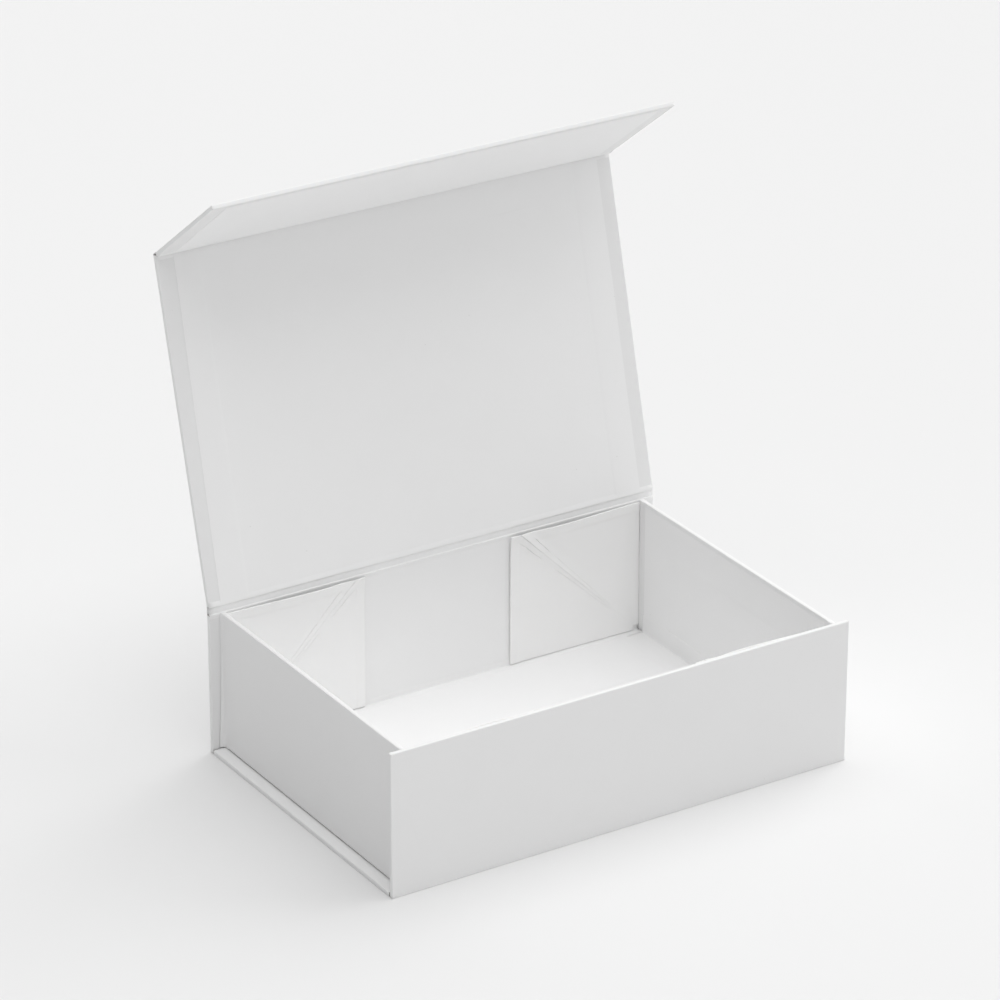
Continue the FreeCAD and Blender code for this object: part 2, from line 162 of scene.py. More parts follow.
class EffectGroups:
    """Surface effects shared by the finishes, each built once as a shader node group."""

    FIBRE_SHARE = 0.6
    RUBBED_BAND = (0.38, 0.66)
    LEAST_RUBBED = 0.15
    STROKE_STRETCH = (0.35, 5.0, 5.0)
    STROKE_BAND = (0.66, 0.74)
    SCUFFED_BAND = (0.6, 0.7)
    SPECK_BAND = (0.012, 0.03)

    def __init__(self) -> None:
        """Builds the three groups."""
        self.grain = self._paper_grain()
        self.rubbing = self._rubbed_edges()
        self.scuffs = self._scuffs_and_dust()

    @staticmethod
    def _group(name: str, inputs: Sequence[tuple], outputs: Sequence[tuple]) -> tuple[NodeWriter, Any, Any]:
        """Starts a group.

        Args:
            name: the group's name.
            inputs: its input sockets.
            outputs: its output sockets.

        Returns:
            A writer for the group, and its input and output nodes.
        """
        tree = bpy.data.node_groups.new(name, "ShaderNodeTree")
        new_sockets(tree, "INPUT", inputs)
        new_sockets(tree, "OUTPUT", outputs)
        writer = NodeWriter(tree)
        return writer, writer.add("NodeGroupInput"), writer.add("NodeGroupOutput")

    def _paper_grain(self) -> bpy.types.NodeTree:
        """Fibres and cloudy tone of a pressed sheet.

        Returns:
            The group: Height runs about 0 to 1, and Tone is a factor near 1 for the colour.
        """
        inputs = [("Vector", VECTOR, None), ("Fibre Size", FLOAT, 0.0004), ("Fibre Stretch", FLOAT, 0.3),
                  ("Cloud Size", FLOAT, 0.03), ("Cloud Amount", FLOAT, 0.01), ("Fleck Amount", FLOAT, 0.01)]
        w, start, end = self._group("paper_grain", inputs, [("Height", FLOAT, None), ("Tone", FLOAT, None)])
        place = start.outputs["Vector"]
        per_fibre = w.math("DIVIDE", 1.0, start.outputs["Fibre Size"])
        per_cloud = w.math("DIVIDE", 1.0, start.outputs["Cloud Size"])
        squeeze = w.add("ShaderNodeCombineXYZ", {"X": start.outputs["Fibre Stretch"], "Y": 1.0, "Z": 1.0})
        along = w.scaled(w.vector("MULTIPLY", place, squeeze.outputs[0]), per_fibre)
        fibres = w.add("ShaderNodeTexNoise", {"Vector": along, "Scale": 1.0, "Detail": 3.0,
                                              "Roughness": 0.6})
        felt = w.add("ShaderNodeTexNoise", {"Vector": w.scaled(place, per_fibre), "Scale": 0.35,
                                            "Detail": 2.0, "Roughness": 0.5})
        cloud = w.add("ShaderNodeTexNoise", {"Vector": w.scaled(place, per_cloud), "Scale": 1.0,
                                             "Detail": 3.0, "Roughness": 0.55})
        felted = w.math("MULTIPLY", felt.outputs["Fac"], 1.0 - self.FIBRE_SHARE)
        height = w.add("ShaderNodeMath", {0: fibres.outputs["Fac"], 1: self.FIBRE_SHARE, 2: felted},
                       operation="MULTIPLY_ADD").outputs[0]
        fleck = w.centred(fibres.outputs["Fac"], start.outputs["Fleck Amount"])
        haze = w.centred(cloud.outputs["Fac"], start.outputs["Cloud Amount"])
        tone = w.math("ADD", w.math("ADD", fleck, haze), 1.0)
        w.tree.links.new(height, end.inputs["Height"])
        w.tree.links.new(tone, end.inputs["Tone"])
        return w.tree

    def _rubbed_edges(self) -> bpy.types.NodeTree:
        """Uneven rubbing along folded edges, from the piece's own edge attribute.

        Returns:
            The group, whose Mask is 1 where the edge is rubbed most.
        """
        inputs = [("Vector", VECTOR, None), ("Edge", FLOAT, 0.0), ("Patch Size", FLOAT, 0.006),
                  ("Amount", FLOAT, 0.5)]
        w, start, end = self._group("rubbed_edges", inputs, [("Mask", FLOAT, None)])
        place = w.scaled(start.outputs["Vector"], w.math("DIVIDE", 1.0, start.outputs["Patch Size"]))
        patches = w.add("ShaderNodeTexNoise", {"Vector": place, "Scale": 1.0, "Detail": 4.0,
                                               "Roughness": 0.65})
        uneven = w.ramp(patches.outputs["Fac"], *self.RUBBED_BAND, self.LEAST_RUBBED, 1.0)
        on_edge = w.math("MULTIPLY", uneven, start.outputs["Edge"])
        mask = w.math("MULTIPLY", on_edge, start.outputs["Amount"])
        w.tree.links.new(mask, end.inputs["Mask"])
        return w.tree

    def _scuffs_and_dust(self) -> bpy.types.NodeTree:
        """Short faint scuffs and a few specks of board dust.

        Returns:
            The group, with a mask for each.
        """
        inputs = [("Vector", VECTOR, None), ("Scuff Size", FLOAT, 0.02), ("Scuff Amount", FLOAT, 0.3),
                  ("Speck Size", FLOAT, 0.012), ("Speck Amount", FLOAT, 0.3)]
        outputs = [("Scuffs", FLOAT, None), ("Specks", FLOAT, None)]
        w, start, end = self._group("scuffs_and_dust", inputs, outputs)
        place = w.scaled(start.outputs["Vector"], w.math("DIVIDE", 1.0, start.outputs["Scuff Size"]))
        lines = w.add("ShaderNodeTexNoise", {"Vector": w.vector("MULTIPLY", place, self.STROKE_STRETCH),
                                             "Scale": 1.0, "Detail": 2.0, "Roughness": 0.5})
        where = w.add("ShaderNodeTexNoise", {"Vector": place, "Scale": 0.45, "Detail": 1.0})
        strokes = w.math("MULTIPLY", w.ramp(lines.outputs["Fac"], *self.STROKE_BAND, 0.0, 1.0),
                         w.ramp(where.outputs["Fac"], *self.SCUFFED_BAND, 0.0, 1.0))
        cells = w.scaled(start.outputs["Vector"], w.math("DIVIDE", 1.0, start.outputs["Speck Size"]))
        specks = w.add("ShaderNodeTexVoronoi", {"Vector": cells, "Scale": 1.0}, feature="F1")
        dots = w.ramp(specks.outputs["Distance"], *self.SPECK_BAND, 1.0, 0.0)
        w.tree.links.new(w.math("MULTIPLY", strokes, start.outputs["Scuff Amount"]), end.inputs["Scuffs"])
        w.tree.links.new(w.math("MULTIPLY", dots, start.outputs["Speck Amount"]), end.inputs["Specks"])
        return w.tree


# ------------------------------------------------------------------ finishes

def blank_material(name: str) -> tuple[bpy.types.Material, NodeWriter]:
    """Starts a material with an empty node tree.

    Args:
        name: the material's name.

    Returns:
        The material and a writer for its tree.
    """
    material = bpy.data.materials.new(name)
    material.use_nodes = True
    material.node_tree.nodes.clear()
    return material, NodeWriter(material.node_tree)


def lay_surface(writer: NodeWriter, relief: dict[str, Any], look: dict[str, Any]) -> None:
    """Ends a material with a surface shader over a bump.

    Args:
        writer: the writer of the material's tree.
        relief: inputs of the bump.
        look: inputs of the shader apart from its normal.
    """
    bump = writer.add("ShaderNodeBump", relief)
    shader = writer.add("ShaderNodeBsdfPrincipled", {**look, "Normal": bump.outputs[0]})
    writer.add("ShaderNodeOutputMaterial", {"Surface": shader.outputs[0]})


@dataclass(frozen=True)
class PaperFinish:
    """White covering or lining paper."""

    name: str
    colour: tuple[float, float, float]
    roughness: float = 0.62
    specular: float = 0.35
    fibre_size: float = 0.35 * MM
    fibre_stretch: float = 0.3
    fibre_height: float = 0.006 * MM
    fibre_roughening: float = 0.08
    cloud_size: float = 28 * MM
    cloud_amount: float = 0.02
    fleck_amount: float = 0.02
    rub_amount: float = 0.5
    rub_tint: tuple[float, float, float] = (0.88, 0.876, 0.868)
    rub_roughening: float = 0.2
    scuff_amount: float = 0.12
    scuff_tint: tuple[float, float, float] = (0.62, 0.61, 0.6)
    speck_amount: float = 0.3
    speck_tint: tuple[float, float, float] = (0.5, 0.49, 0.47)

    def material(self, effects: EffectGroups) -> bpy.types.Material:
        """Builds the paper's material.

        Args:
            effects: the shared node groups.

        Returns:
            The material, which reads the sheet attribute of the piece it is on.
        """
        material, w = blank_material(self.name)
        place = w.add("ShaderNodeAttribute", attribute_name="sheet").outputs["Vector"]
        edge = w.add("ShaderNodeAttribute", attribute_name="edge").outputs["Fac"]
        grain = w.group(effects.grain, {
            "Vector": place, "Fibre Size": self.fibre_size, "Fibre Stretch": self.fibre_stretch,
            "Cloud Size": self.cloud_size, "Cloud Amount": self.cloud_amount,
            "Fleck Amount": self.fleck_amount})
        rubbing = w.group(effects.rubbing, {"Vector": place, "Edge": edge, "Amount": self.rub_amount})
        marks = w.group(effects.scuffs, {"Vector": place, "Scuff Amount": self.scuff_amount,
                                         "Speck Amount": self.speck_amount})
        toned = w.scaled(self.colour, grain.outputs["Tone"])
        rubbed = w.mixed(rubbing.outputs["Mask"], toned, self.rub_tint)
        scuffed = w.mixed(marks.outputs["Scuffs"], rubbed, self.scuff_tint)
        dusted = w.mixed(marks.outputs["Specks"], scuffed, self.speck_tint)
        rougher = w.math("MULTIPLY", rubbing.outputs["Mask"], self.rub_roughening)
        rough = w.math("ADD", w.math("MULTIPLY", grain.outputs["Height"], self.fibre_roughening),
                       self.roughness - self.fibre_roughening / 2)
        lay_surface(w, {"Strength": 1.0, "Distance": self.fibre_height, "Height": grain.outputs["Height"]},
                    {"Base Color": dusted, "Roughness": w.math("ADD", rough, rougher),
                     "Specular IOR Level": self.specular})
        return material


@dataclass(frozen=True)
class GreyboardFinish:
    """Raw recycled greyboard inside the papers."""

    name: str = "greyboard"
    colour: tuple[float, float, float] = (0.33, 0.315, 0.29)
    chip_tint: tuple[float, float, float] = (0.2, 0.19, 0.18)
    fibre_tint: tuple[float, float, float] = (0.5, 0.48, 0.44)
    fibre_height: float = 0.03 * MM
    roughness: float = 0.9

    def material(self, effects: EffectGroups) -> bpy.types.Material:
        """Builds the board's material.

        Args:
            effects: the shared node groups.

        Returns:
            The material, which reads object coordinates.
        """
        material, w = blank_material(self.name)
        place = w.add("ShaderNodeTexCoord").outputs["Object"]
        grain = w.group(effects.grain, {"Vector": place, "Fibre Size": 0.8 * MM, "Fibre Stretch": 0.25,
                                        "Cloud Size": 9 * MM, "Cloud Amount": 0.25, "Fleck Amount": 0.5})
        marks = w.group(effects.scuffs, {"Vector": place, "Speck Size": 3 * MM, "Speck Amount": 0.8,
                                         "Scuff Amount": 0.4, "Scuff Size": 6 * MM})
        toned = w.scaled(self.colour, grain.outputs["Tone"])
        chips = w.mixed(marks.outputs["Specks"], toned, self.chip_tint)
        fibres = w.mixed(marks.outputs["Scuffs"], chips, self.fibre_tint)
        lay_surface(w, {"Strength": 1.0, "Distance": self.fibre_height, "Height": grain.outputs["Height"]},
                    {"Base Color": fibres, "Roughness": self.roughness})
        return material


@dataclass(frozen=True)
class TapeFinish:
    """Double-sided tissue tape under a gusset."""

    name: str = "adhesive_tape"
    colour: tuple[float, float, float] = (0.74, 0.72, 0.66)
    roughness: float = 0.18
    tissue_roughening: float = 0.3
    tissue_height: float = 0.02 * MM
    coat: float = 0.35

    def material(self, effects: EffectGroups) -> bpy.types.Material:
        """Builds the tape's material.

        Args:
            effects: the shared node groups.

        Returns:
            The material, with a glossy coat over a tissue carrier.
        """
        material, w = blank_material(self.name)
        place = w.add("ShaderNodeTexCoord").outputs["Object"]
        grain = w.group(effects.grain, {"Vector": place, "Fibre Size": 1.1 * MM, "Fibre Stretch": 0.12,
                                        "Cloud Size": 4 * MM, "Cloud Amount": 0.12, "Fleck Amount": 0.22})
        toned = w.scaled(self.colour, grain.outputs["Tone"])
        rough = w.math("ADD", w.math("MULTIPLY", grain.outputs["Height"], self.tissue_roughening),
                       self.roughness)
        lay_surface(w, {"Strength": 1.0, "Distance": self.tissue_height, "Height": grain.outputs["Height"]},
                    {"Base Color": toned, "Roughness": rough, "Coat Weight": self.coat})
        return material


@dataclass(frozen=True)
class MetalFinish:
    """Plated disc: a nickel-coated magnet or a zinc-coated steel keeper."""

    name: str
    colour: tuple[float, float, float]
    roughness: float
    scuff_tint: tuple[float, float, float] = (0.35, 0.34, 0.33)
    scuff_roughening: float = 0.3
    relief: float = 0.01 * MM

    def material(self, effects: EffectGroups) -> bpy.types.Material:
        """Builds the plating's material.

        Args:
            effects: the shared node groups.

        Returns:
            The material, with tumbling marks and a few dull scuffs.
        """
        material, w = blank_material(self.name)
        place = w.add("ShaderNodeTexCoord").outputs["Object"]
        grain = w.group(effects.grain, {"Vector": place, "Fibre Size": 0.25 * MM, "Fibre Stretch": 0.6,
                                        "Cloud Size": 3 * MM, "Cloud Amount": 0.1, "Fleck Amount": 0.06})
        marks = w.group(effects.scuffs, {"Vector": place, "Scuff Size": 2 * MM, "Scuff Amount": 0.7,
                                         "Speck Size": 2 * MM, "Speck Amount": 0.4})
        toned = w.scaled(self.colour, grain.outputs["Tone"])
        dulled = w.mixed(marks.outputs["Scuffs"], toned, self.scuff_tint)
        rough = w.math("ADD", w.math("MULTIPLY", marks.outputs["Scuffs"], self.scuff_roughening),
                       self.roughness)
        lay_surface(w, {"Strength": 0.6, "Distance": self.relief, "Height": grain.outputs["Height"]},
                    {"Base Color": dulled, "Metallic": 1.0, "Roughness": rough})
        return material


class Surface(Enum):
    """The record's material slots."""

    WRAP = "white_wrap"
    LINING = "white_lining"
    GUSSET = "gusset_card"
    BOARD = "greyboard"
    TAPE = "adhesive_tape"
    MAGNET = "magnet"
    STEEL = "steel"


class FinishRack:
    """Every finish of the box, made into materials."""

    def __init__(self) -> None:
        """Builds the node groups and the materials."""
        effects = EffectGroups()
        finishes: dict[Surface, Any] = {
            Surface.WRAP: PaperFinish("wrap_paper", (0.85, 0.85, 0.85)),
            # The lining is whiter than the wrap as painted light: the extra whiteness stands in for the
            # brighter light inside the box.
            Surface.LINING: PaperFinish("lining_paper", (0.905, 0.905, 0.905), roughness=0.7,
                                        specular=0.25, fibre_size=0.45 * MM, fibre_height=0.008 * MM,
                                        scuff_amount=0.05),
            # The gusset card is whiter still as painted light, standing in for the light that falls on the
            # box's inner corners.
            Surface.GUSSET: PaperFinish("gusset_paper", (0.945, 0.943, 0.94), roughness=0.66,
                                        fibre_stretch=0.2, rub_amount=0.8, scuff_amount=0.2),
            Surface.BOARD: GreyboardFinish(),
            Surface.TAPE: TapeFinish(),
            Surface.MAGNET: MetalFinish("nickel_magnet", (0.66, 0.63, 0.58), 0.22),
            Surface.STEEL: MetalFinish("zinc_steel", (0.56, 0.57, 0.58), 0.34),
        }
        self.materials = {surface: finish.material(effects) for surface, finish in finishes.items()}

    def dress(self, piece: bpy.types.Object, surface: Surface) -> bpy.types.Object:
        """Puts a finish into every material slot of a piece.

        Args:
            piece: a new piece or a carried-over node.
            surface: the finish.

        Returns:
            The piece.
        """
        if not piece.material_slots:
            piece.data.materials.append(self.materials[surface])
        for slot in piece.material_slots:
            slot.material = self.materials[surface]
        return piece


# ------------------------------------------------------------------ geometry trees

class PaperTrees:
    """Geometry Nodes trees for the pieces that follow a rule."""

    SEED_SPACING = 7.31

    def __init__(self) -> None:
        """Builds the trees."""
        self.cover = self._sheet_on_board()
        self.strip = self._strip_on_path()

    @staticmethod
    def _tree(name: str, inputs: Sequence[tuple]) -> tuple[NodeWriter, Any, Any]:
        """Starts a geometry tree.

        Args:
            name: the tree's name.
            inputs: its inputs after the geometry.

        Returns:
            A writer for the tree, and its input and output nodes.
        """
        tree = bpy.data.node_groups.new(name, "GeometryNodeTree")
        new_sockets(tree, "INPUT", [("Geometry", GEOMETRY, None), *inputs])
        new_sockets(tree, "OUTPUT", [("Geometry", GEOMETRY, None)])
        writer = NodeWriter(tree)
        return writer, writer.add("NodeGroupInput"), writer.add("NodeGroupOutput")

    @staticmethod
    def _finish(w: NodeWriter, start: Any, end: Any, geometry: bpy.types.NodeSocket) -> None:
        """Ends a tree: smooth faces, real geometry and the material.

        Args:
            w: the tree's writer.
            start: its input node.
            end: its output node.
            geometry: what the tree has made.
        """
        smooth = w.add("GeometryNodeSetShadeSmooth", {"Geometry": geometry})
        real = w.add("GeometryNodeRealizeInstances", {"Geometry": smooth.outputs[0]})
        finish = w.add("GeometryNodeSetMaterial", {"Geometry": real.outputs[0],
                                                   "Material": start.outputs["Material"]})
        w.tree.links.new(finish.outputs[0], end.inputs[0])

    @staticmethod
    def _ripple(w: NodeWriter, start: Any, place: Any) -> bpy.types.NodeSocket:
        """Slow waviness of a pasted sheet, the same for any place on one panel.

        Args:
            w: the tree's writer.
            start: its input node.
            place: where on the sheet.

        Returns:
            The socket of the height.
        """
        flat = w.vector("MULTIPLY", place, (1.0, 1.0, 0.0))
        fine = w.scaled(flat, w.math("DIVIDE", 1.0, start.outputs["Ripple Size"]))
        seed = w.math("MULTIPLY", start.outputs["Seed"], PaperTrees.SEED_SPACING)
        noise = w.add("ShaderNodeTexNoise", {"Vector": fine, "W": seed, "Scale": 1.0, "Detail": 1.0},
                      noise_dimensions="4D")
        around = w.math("SUBTRACT", noise.outputs["Fac"], 0.5)
        return w.math("MULTIPLY", around, w.math("MULTIPLY", start.outputs["Ripple Height"], 2.0))

    def _sheet_on_board(self) -> bpy.types.NodeTree:
        """Rounds a box's edges, sinks or lifts it inside a window and ripples it.

        Returns:
            The tree. Low and High are the box's corners before the window and the ripple.
        """
        inputs = [("Low", VECTOR, None), ("High", VECTOR, None), ("Edge Radius", FLOAT, 0.0),
                  ("Window Low", VECTOR, None), ("Window High", VECTOR, None), ("Window Depth", FLOAT, 0.0),
                  ("Window Softness", FLOAT, MM), ("Face Level", FLOAT, -1.0),
                  ("Ripple Height", FLOAT, 0.0),
                  ("Ripple Size", FLOAT, 0.05), ("Seed", INTEGER, 1), ("Material", MATERIAL, None)]
        w, start, end = self._tree("sheet_on_board", inputs)
        out = start.outputs
        place = w.add("GeometryNodeInputPosition").outputs[0]
        lowest = w.vector("ADD", out["Low"], out["Edge Radius"])
        highest = w.vector("SUBTRACT", out["High"], out["Edge Radius"])
        core = w.vector("MINIMUM", w.vector("MAXIMUM", place, lowest), highest)
        offset = w.vector("SUBTRACT", place, core)
        rounded = w.vector("ADD", core, w.scaled(w.vector("NORMALIZE", offset), out["Edge Radius"]))
        reach = w.add("ShaderNodeVectorMath", {0: offset}, operation="LENGTH").outputs["Value"]
        edge = w.ramp(w.math("DIVIDE", reach, out["Edge Radius"]), 1.02, 1.25, 0.0, 1.0)
        sides = [w.add("ShaderNodeSeparateXYZ", {0: socket}).outputs for socket in
                 (rounded, out["Window Low"], out["Window High"])]
        here, low, high = sides
        mask: Any = w.math("GREATER_THAN", here["Z"], out["Face Level"])
        for axis in "XY":
            soft = out["Window Softness"]
            near, far = low[axis], high[axis]
            rise = w.ramp(here[axis], w.math("SUBTRACT", near, soft), w.math("ADD", near, soft), 0, 1)
            fall = w.ramp(here[axis], w.math("SUBTRACT", far, soft), w.math("ADD", far, soft), 1, 0)
            mask = w.math("MULTIPLY", mask, w.math("MULTIPLY", rise, fall))
        sunk = w.math("MULTIPLY", mask, out["Window Depth"])
        lift = w.math("SUBTRACT", self._ripple(w, start, place), sunk)
        shift = w.add("ShaderNodeCombineXYZ", {"Z": lift}).outputs[0]
        keep = w.add("GeometryNodeStoreNamedAttribute", {"Geometry": out["Geometry"], "Name": "edge",
                                                         "Value": edge}, data_type="FLOAT", domain="POINT")
        placed = w.add("GeometryNodeStoreNamedAttribute", {"Geometry": keep.outputs[0], "Name": "sheet",
                                                           "Value": place}, data_type="FLOAT_VECTOR",
                       domain="POINT")
        moved = w.add("GeometryNodeSetPosition", {"Geometry": placed.outputs[0],
                                                  "Position": w.vector("ADD", rounded, shift)})
        self._finish(w, start, end, moved.outputs[0])
        return w.tree

    def _strip_on_path(self) -> bpy.types.NodeTree:
        """Lays a strip of paper along a path that is drawn across it.

        Returns:
            The tree. The input geometry is the path, in the plane square to the strip's width.
        """
        inputs = [("Half Width", FLOAT, 0.1), ("Thickness", FLOAT, 0.14 * MM), ("Columns", INTEGER, 60),
                  ("Rows", INTEGER, 24), ("Ripple Height", FLOAT, 0.0), ("Ripple Size", FLOAT, 0.02),
                  ("Seed", INTEGER, 1), ("Material", MATERIAL, None)]
        w, start, end = self._tree("strip_on_path", inputs)
        out = start.outputs
        path = w.add("GeometryNodeMeshToCurve", {0: out["Geometry"]})
        grid = w.add("GeometryNodeMeshGrid", {"Size X": 2.0, "Size Y": 1.0, "Vertices X": out["Columns"],
                                              "Vertices Y": out["Rows"]})
        place = w.add("ShaderNodeSeparateXYZ", {0: w.add("GeometryNodeInputPosition").outputs[0]})
        across = w.math("MULTIPLY", place.outputs["X"], out["Half Width"])
        along = w.math("ADD", place.outputs["Y"], 0.5)
        point = w.add("GeometryNodeSampleCurve", {"Curves": path.outputs[0], "Factor": along},
                      mode="FACTOR")
        middle = w.add("ShaderNodeSeparateXYZ", {0: point.outputs["Position"]})
        spot = w.add("ShaderNodeCombineXYZ", {"X": across, "Y": middle.outputs["Y"],
                                              "Z": middle.outputs["Z"]})
        laid = w.add("GeometryNodeSetPosition", {"Geometry": grid.outputs["Mesh"],
                                                 "Position": spot.outputs[0]})
        marked = w.add("GeometryNodeStoreNamedAttribute",
                       {"Geometry": laid.outputs[0], "Name": "sheet", "Value": spot.outputs[0]},
                       data_type="FLOAT_VECTOR", domain="POINT")
        facing = w.add("GeometryNodeInputNormal").outputs[0]
        off_middle = w.math("ABSOLUTE", w.math("SUBTRACT", along, 0.5))
        spread = w.ramp(off_middle, 0.3, 0.5, 1.0, 0.0)
        mesh_place = w.add("GeometryNodeInputPosition").outputs[0]
        height = w.math("MULTIPLY", self._ripple(w, start, mesh_place), spread)
        rippled = w.add("GeometryNodeSetPosition", {"Geometry": marked.outputs[0],
                                                    "Offset": w.scaled(facing, height)})
        raised = w.add("GeometryNodeExtrudeMesh", {"Mesh": rippled.outputs[0],
                                                   "Offset Scale": out["Thickness"],
                                                   "Individual": False}, mode="FACES")
        under = w.add("GeometryNodeFlipFaces", {"Mesh": rippled.outputs[0]})
        both = w.add("GeometryNodeJoinGeometry")
        w.tree.links.new(raised.outputs["Mesh"], both.inputs[0])
        w.tree.links.new(under.outputs[0], both.inputs[0])
        closed = w.add("GeometryNodeMergeByDistance", {"Geometry": both.outputs[0], "Distance": 0.002 * MM})
        self._finish(w, start, end, closed.outputs[0])
        return w.tree

    @staticmethod
    def grow(name: str, mesh: bpy.types.Mesh, tree: bpy.types.NodeTree, values: dict[str, Any]
             ) -> bpy.types.Object:
        """Runs a tree on a mesh and keeps the result as a plain mesh.

        Args:
            name: the piece's name.
            mesh: the tree's input geometry.
            tree: the tree.
            values: input name to value.

        Returns:
            The new piece, at the origin and with no modifier.
        """
        source = bpy.data.objects.new(f"{name}_source", mesh)
        bpy.context.scene.collection.objects.link(source)
        modifier = source.modifiers.new("shape", "NODES")
        modifier.node_group = tree
        named = {item.name: item.identifier for item in tree.interface.items_tree
                 if item.item_type == "SOCKET" and item.in_out == "INPUT"}
        for key, value in values.items():
            modifier[named[key]] = value
        graph = bpy.context.evaluated_depsgraph_get()
        made = bpy.data.meshes.new_from_object(source.evaluated_get(graph))
        made.name = name
        bpy.data.objects.remove(source)
        piece = bpy.data.objects.new(name, made)
        bpy.context.scene.collection.objects.link(piece)
        return piece


# ------------------------------------------------------------------ meshes

def clamped(value: float) -> float:
    """The value, held between 0 and 1."""
    return min(1.0, max(0.0, value))


def eased(value: float) -> float:
    """Smooth step from 0 at 0 to 1 at 1."""
    share = clamped(value)
    return share * share * (3 - 2 * share)


def spaced(marks: Sequence[float], step: float) -> list[float]:
    """Grid lines through all the marks, with even lines between them.

    Args:
        marks: places that must have a line.
        step: the widest gap between lines.

    Returns:
        The lines in order.
    """
    ordered = sorted({round(mark, 7) for mark in marks})
    lines = [ordered[0]]
    for low, high in zip(ordered, ordered[1:]):
        count = max(1, math.ceil((high - low) / step - 1e-6))
        lines += [low + (high - low) * (index + 1) / count for index in range(count)]
    return lines


def edge_marks(low: float, high: float, radius: float, rings: int = 3) -> list[float]:
    """Lines that shape a rounded edge at each end of a span.

    Args:
        low: the span's start.
        high: its end.
        radius: the edges' radius.
        rings: how many steps round half an edge.

    Returns:
        The lines, with one more a little further in that keeps the flat face flat.
    """
    inset = [radius * step / rings for step in range(rings + 1)]
    if high - low > 8 * radius:
        inset.append(radius * 2.5)
    return [low + value for value in inset] + [high - value for value in inset]


def lattice_box(xs: Sequence[float], ys: Sequence[float], zs: Sequence[float]) -> bpy.types.Mesh:
    """Closed box whose six faces carry the given grid lines.

    Args:
        xs: lines across.
        ys: lines along.
        zs: lines through the thickness.

    Returns:
        The mesh, facing outwards.
    """
    counts = (len(xs), len(ys), len(zs))
    index: dict[tuple[int, int, int], int] = {}
    points: list[tuple[float, float, float]] = []

    def vertex(i: int, j: int, k: int) -> int:
        """Number of the vertex at one crossing, made when first asked for."""
        if (i, j, k) not in index:
            index[i, j, k] = len(points)
            points.append((xs[i], ys[j], zs[k]))
        return index[i, j, k]

    faces: list[list[int]] = []
    for axis in range(3):
        first, second = (axis + 1) % 3, (axis + 2) % 3
        for end in (0, counts[axis] - 1):
            for a in range(counts[first] - 1):
                for b in range(counts[second] - 1):
                    ring = []
                    for da, db in ((0, 0), (1, 0), (1, 1), (0, 1)):
                        spot = [0, 0, 0]
                        spot[axis], spot[first], spot[second] = end, a + da, b + db
                        ring.append(vertex(*spot))
                    faces.append(ring if end else ring[::-1])
    mesh = bpy.data.meshes.new("lattice")
    mesh.from_pydata(points, [], faces)
    mesh.update()
    return mesh


def path_mesh(points: Sequence[tuple[float, float]]) -> bpy.types.Mesh:
    """Open line through points given as (back, up).

    Args:
        points: the path's corners.

    Returns:
        A mesh of edges only.
    """
    mesh = bpy.data.meshes.new("path")
    edges = [(number, number + 1) for number in range(len(points) - 1)]
    mesh.from_pydata([(0.0, back, up) for back, up in points], edges, [])
    mesh.update()
    return mesh


def rounded_path(corners: Sequence[tuple[float, float, float]],
                 rings: int = 6) -> list[tuple[float, float]]:
    """Path with a round bend at each inner corner.

    Args:
        corners: (back, up, bend) of each corner, where bend is how far from it the bend starts.
        rings: points on each bend.

    Returns:
        The path's points.
    """
    points = [np.array(corner[:2]) for corner in corners]
    path = [points[0]]
    for number in range(1, len(points) - 1):
        before, here, after = points[number - 1:number + 2]
        bend = corners[number][2]
        enter = here + (before - here) * min(0.5, bend / np.linalg.norm(before - here))
        leave = here + (after - here) * min(0.5, bend / np.linalg.norm(after - here))
        for t in np.linspace(0.0, 1.0, rings):
            path.append((1 - t) ** 2 * enter + 2 * t * (1 - t) * here + t * t * leave)
    path.append(points[-1])
    return [(float(back), float(up)) for back, up in path]


def settle(piece: bpy.types.Object, matrix: Matrix) -> None:
    """Moves a piece's mesh from its panel's frame to the box's and leaves its object at the origin."""
    piece.data.transform(matrix)


def sheet_shell(points: np.ndarray, thickness: float) -> bpy.types.Mesh:
    """Closed card over a grid of points, thinned towards its rim, except at the last column.

    Args:
        points: rows, columns and three coordinates of the back face.
        thickness: how far the front face stands off it.

    Returns:
        The mesh, facing outwards.
    """
    rows, columns = points.shape[:2]
    along = np.gradient(points, axis=0)
    across = np.gradient(points, axis=1)
    normal = np.cross(across, along)
    normal /= np.linalg.norm(normal, axis=2, keepdims=True)
    rim = np.minimum.outer(np.minimum(np.arange(rows), np.arange(rows)[::-1]), np.arange(columns))
    pinch = np.where(rim == 0, 0.28, np.where(rim == 1, 0.08, 0.0))[:, :, None] * thickness
    back = points + normal * pinch
    front = points + normal * (thickness - pinch)
    vertices = np.concatenate([back.reshape(-1, 3), front.reshape(-1, 3)])
    size = rows * columns
    faces = []
    for i in range(rows - 1):
        for j in range(columns - 1):
            a, b = i * columns + j, (i + 1) * columns + j
            faces.append([a, b, b + 1, a + 1])
            faces.append([size + a, size + a + 1, size + b + 1, size + b])
    ring = list(range(columns)) + [i * columns + columns - 1 for i in range(1, rows)]
    ring += [(rows - 1) * columns + j for j in range(columns - 2, -1, -1)]
    ring += [i * columns for i in range(rows - 2, 0, -1)]
    for a, b in zip(ring, ring[1:] + ring[:1]):
        faces.append([a, b, size + b, size + a])
    mesh = bpy.data.meshes.new("shell")
    mesh.from_pydata([tuple(vertex) for vertex in vertices], [], faces)
    mesh.update()
    last = {number for number in range(2 * size) if number % columns == columns - 1}
    for line in mesh.edges:
        line.use_edge_sharp = set(line.vertices) <= last
    return mesh


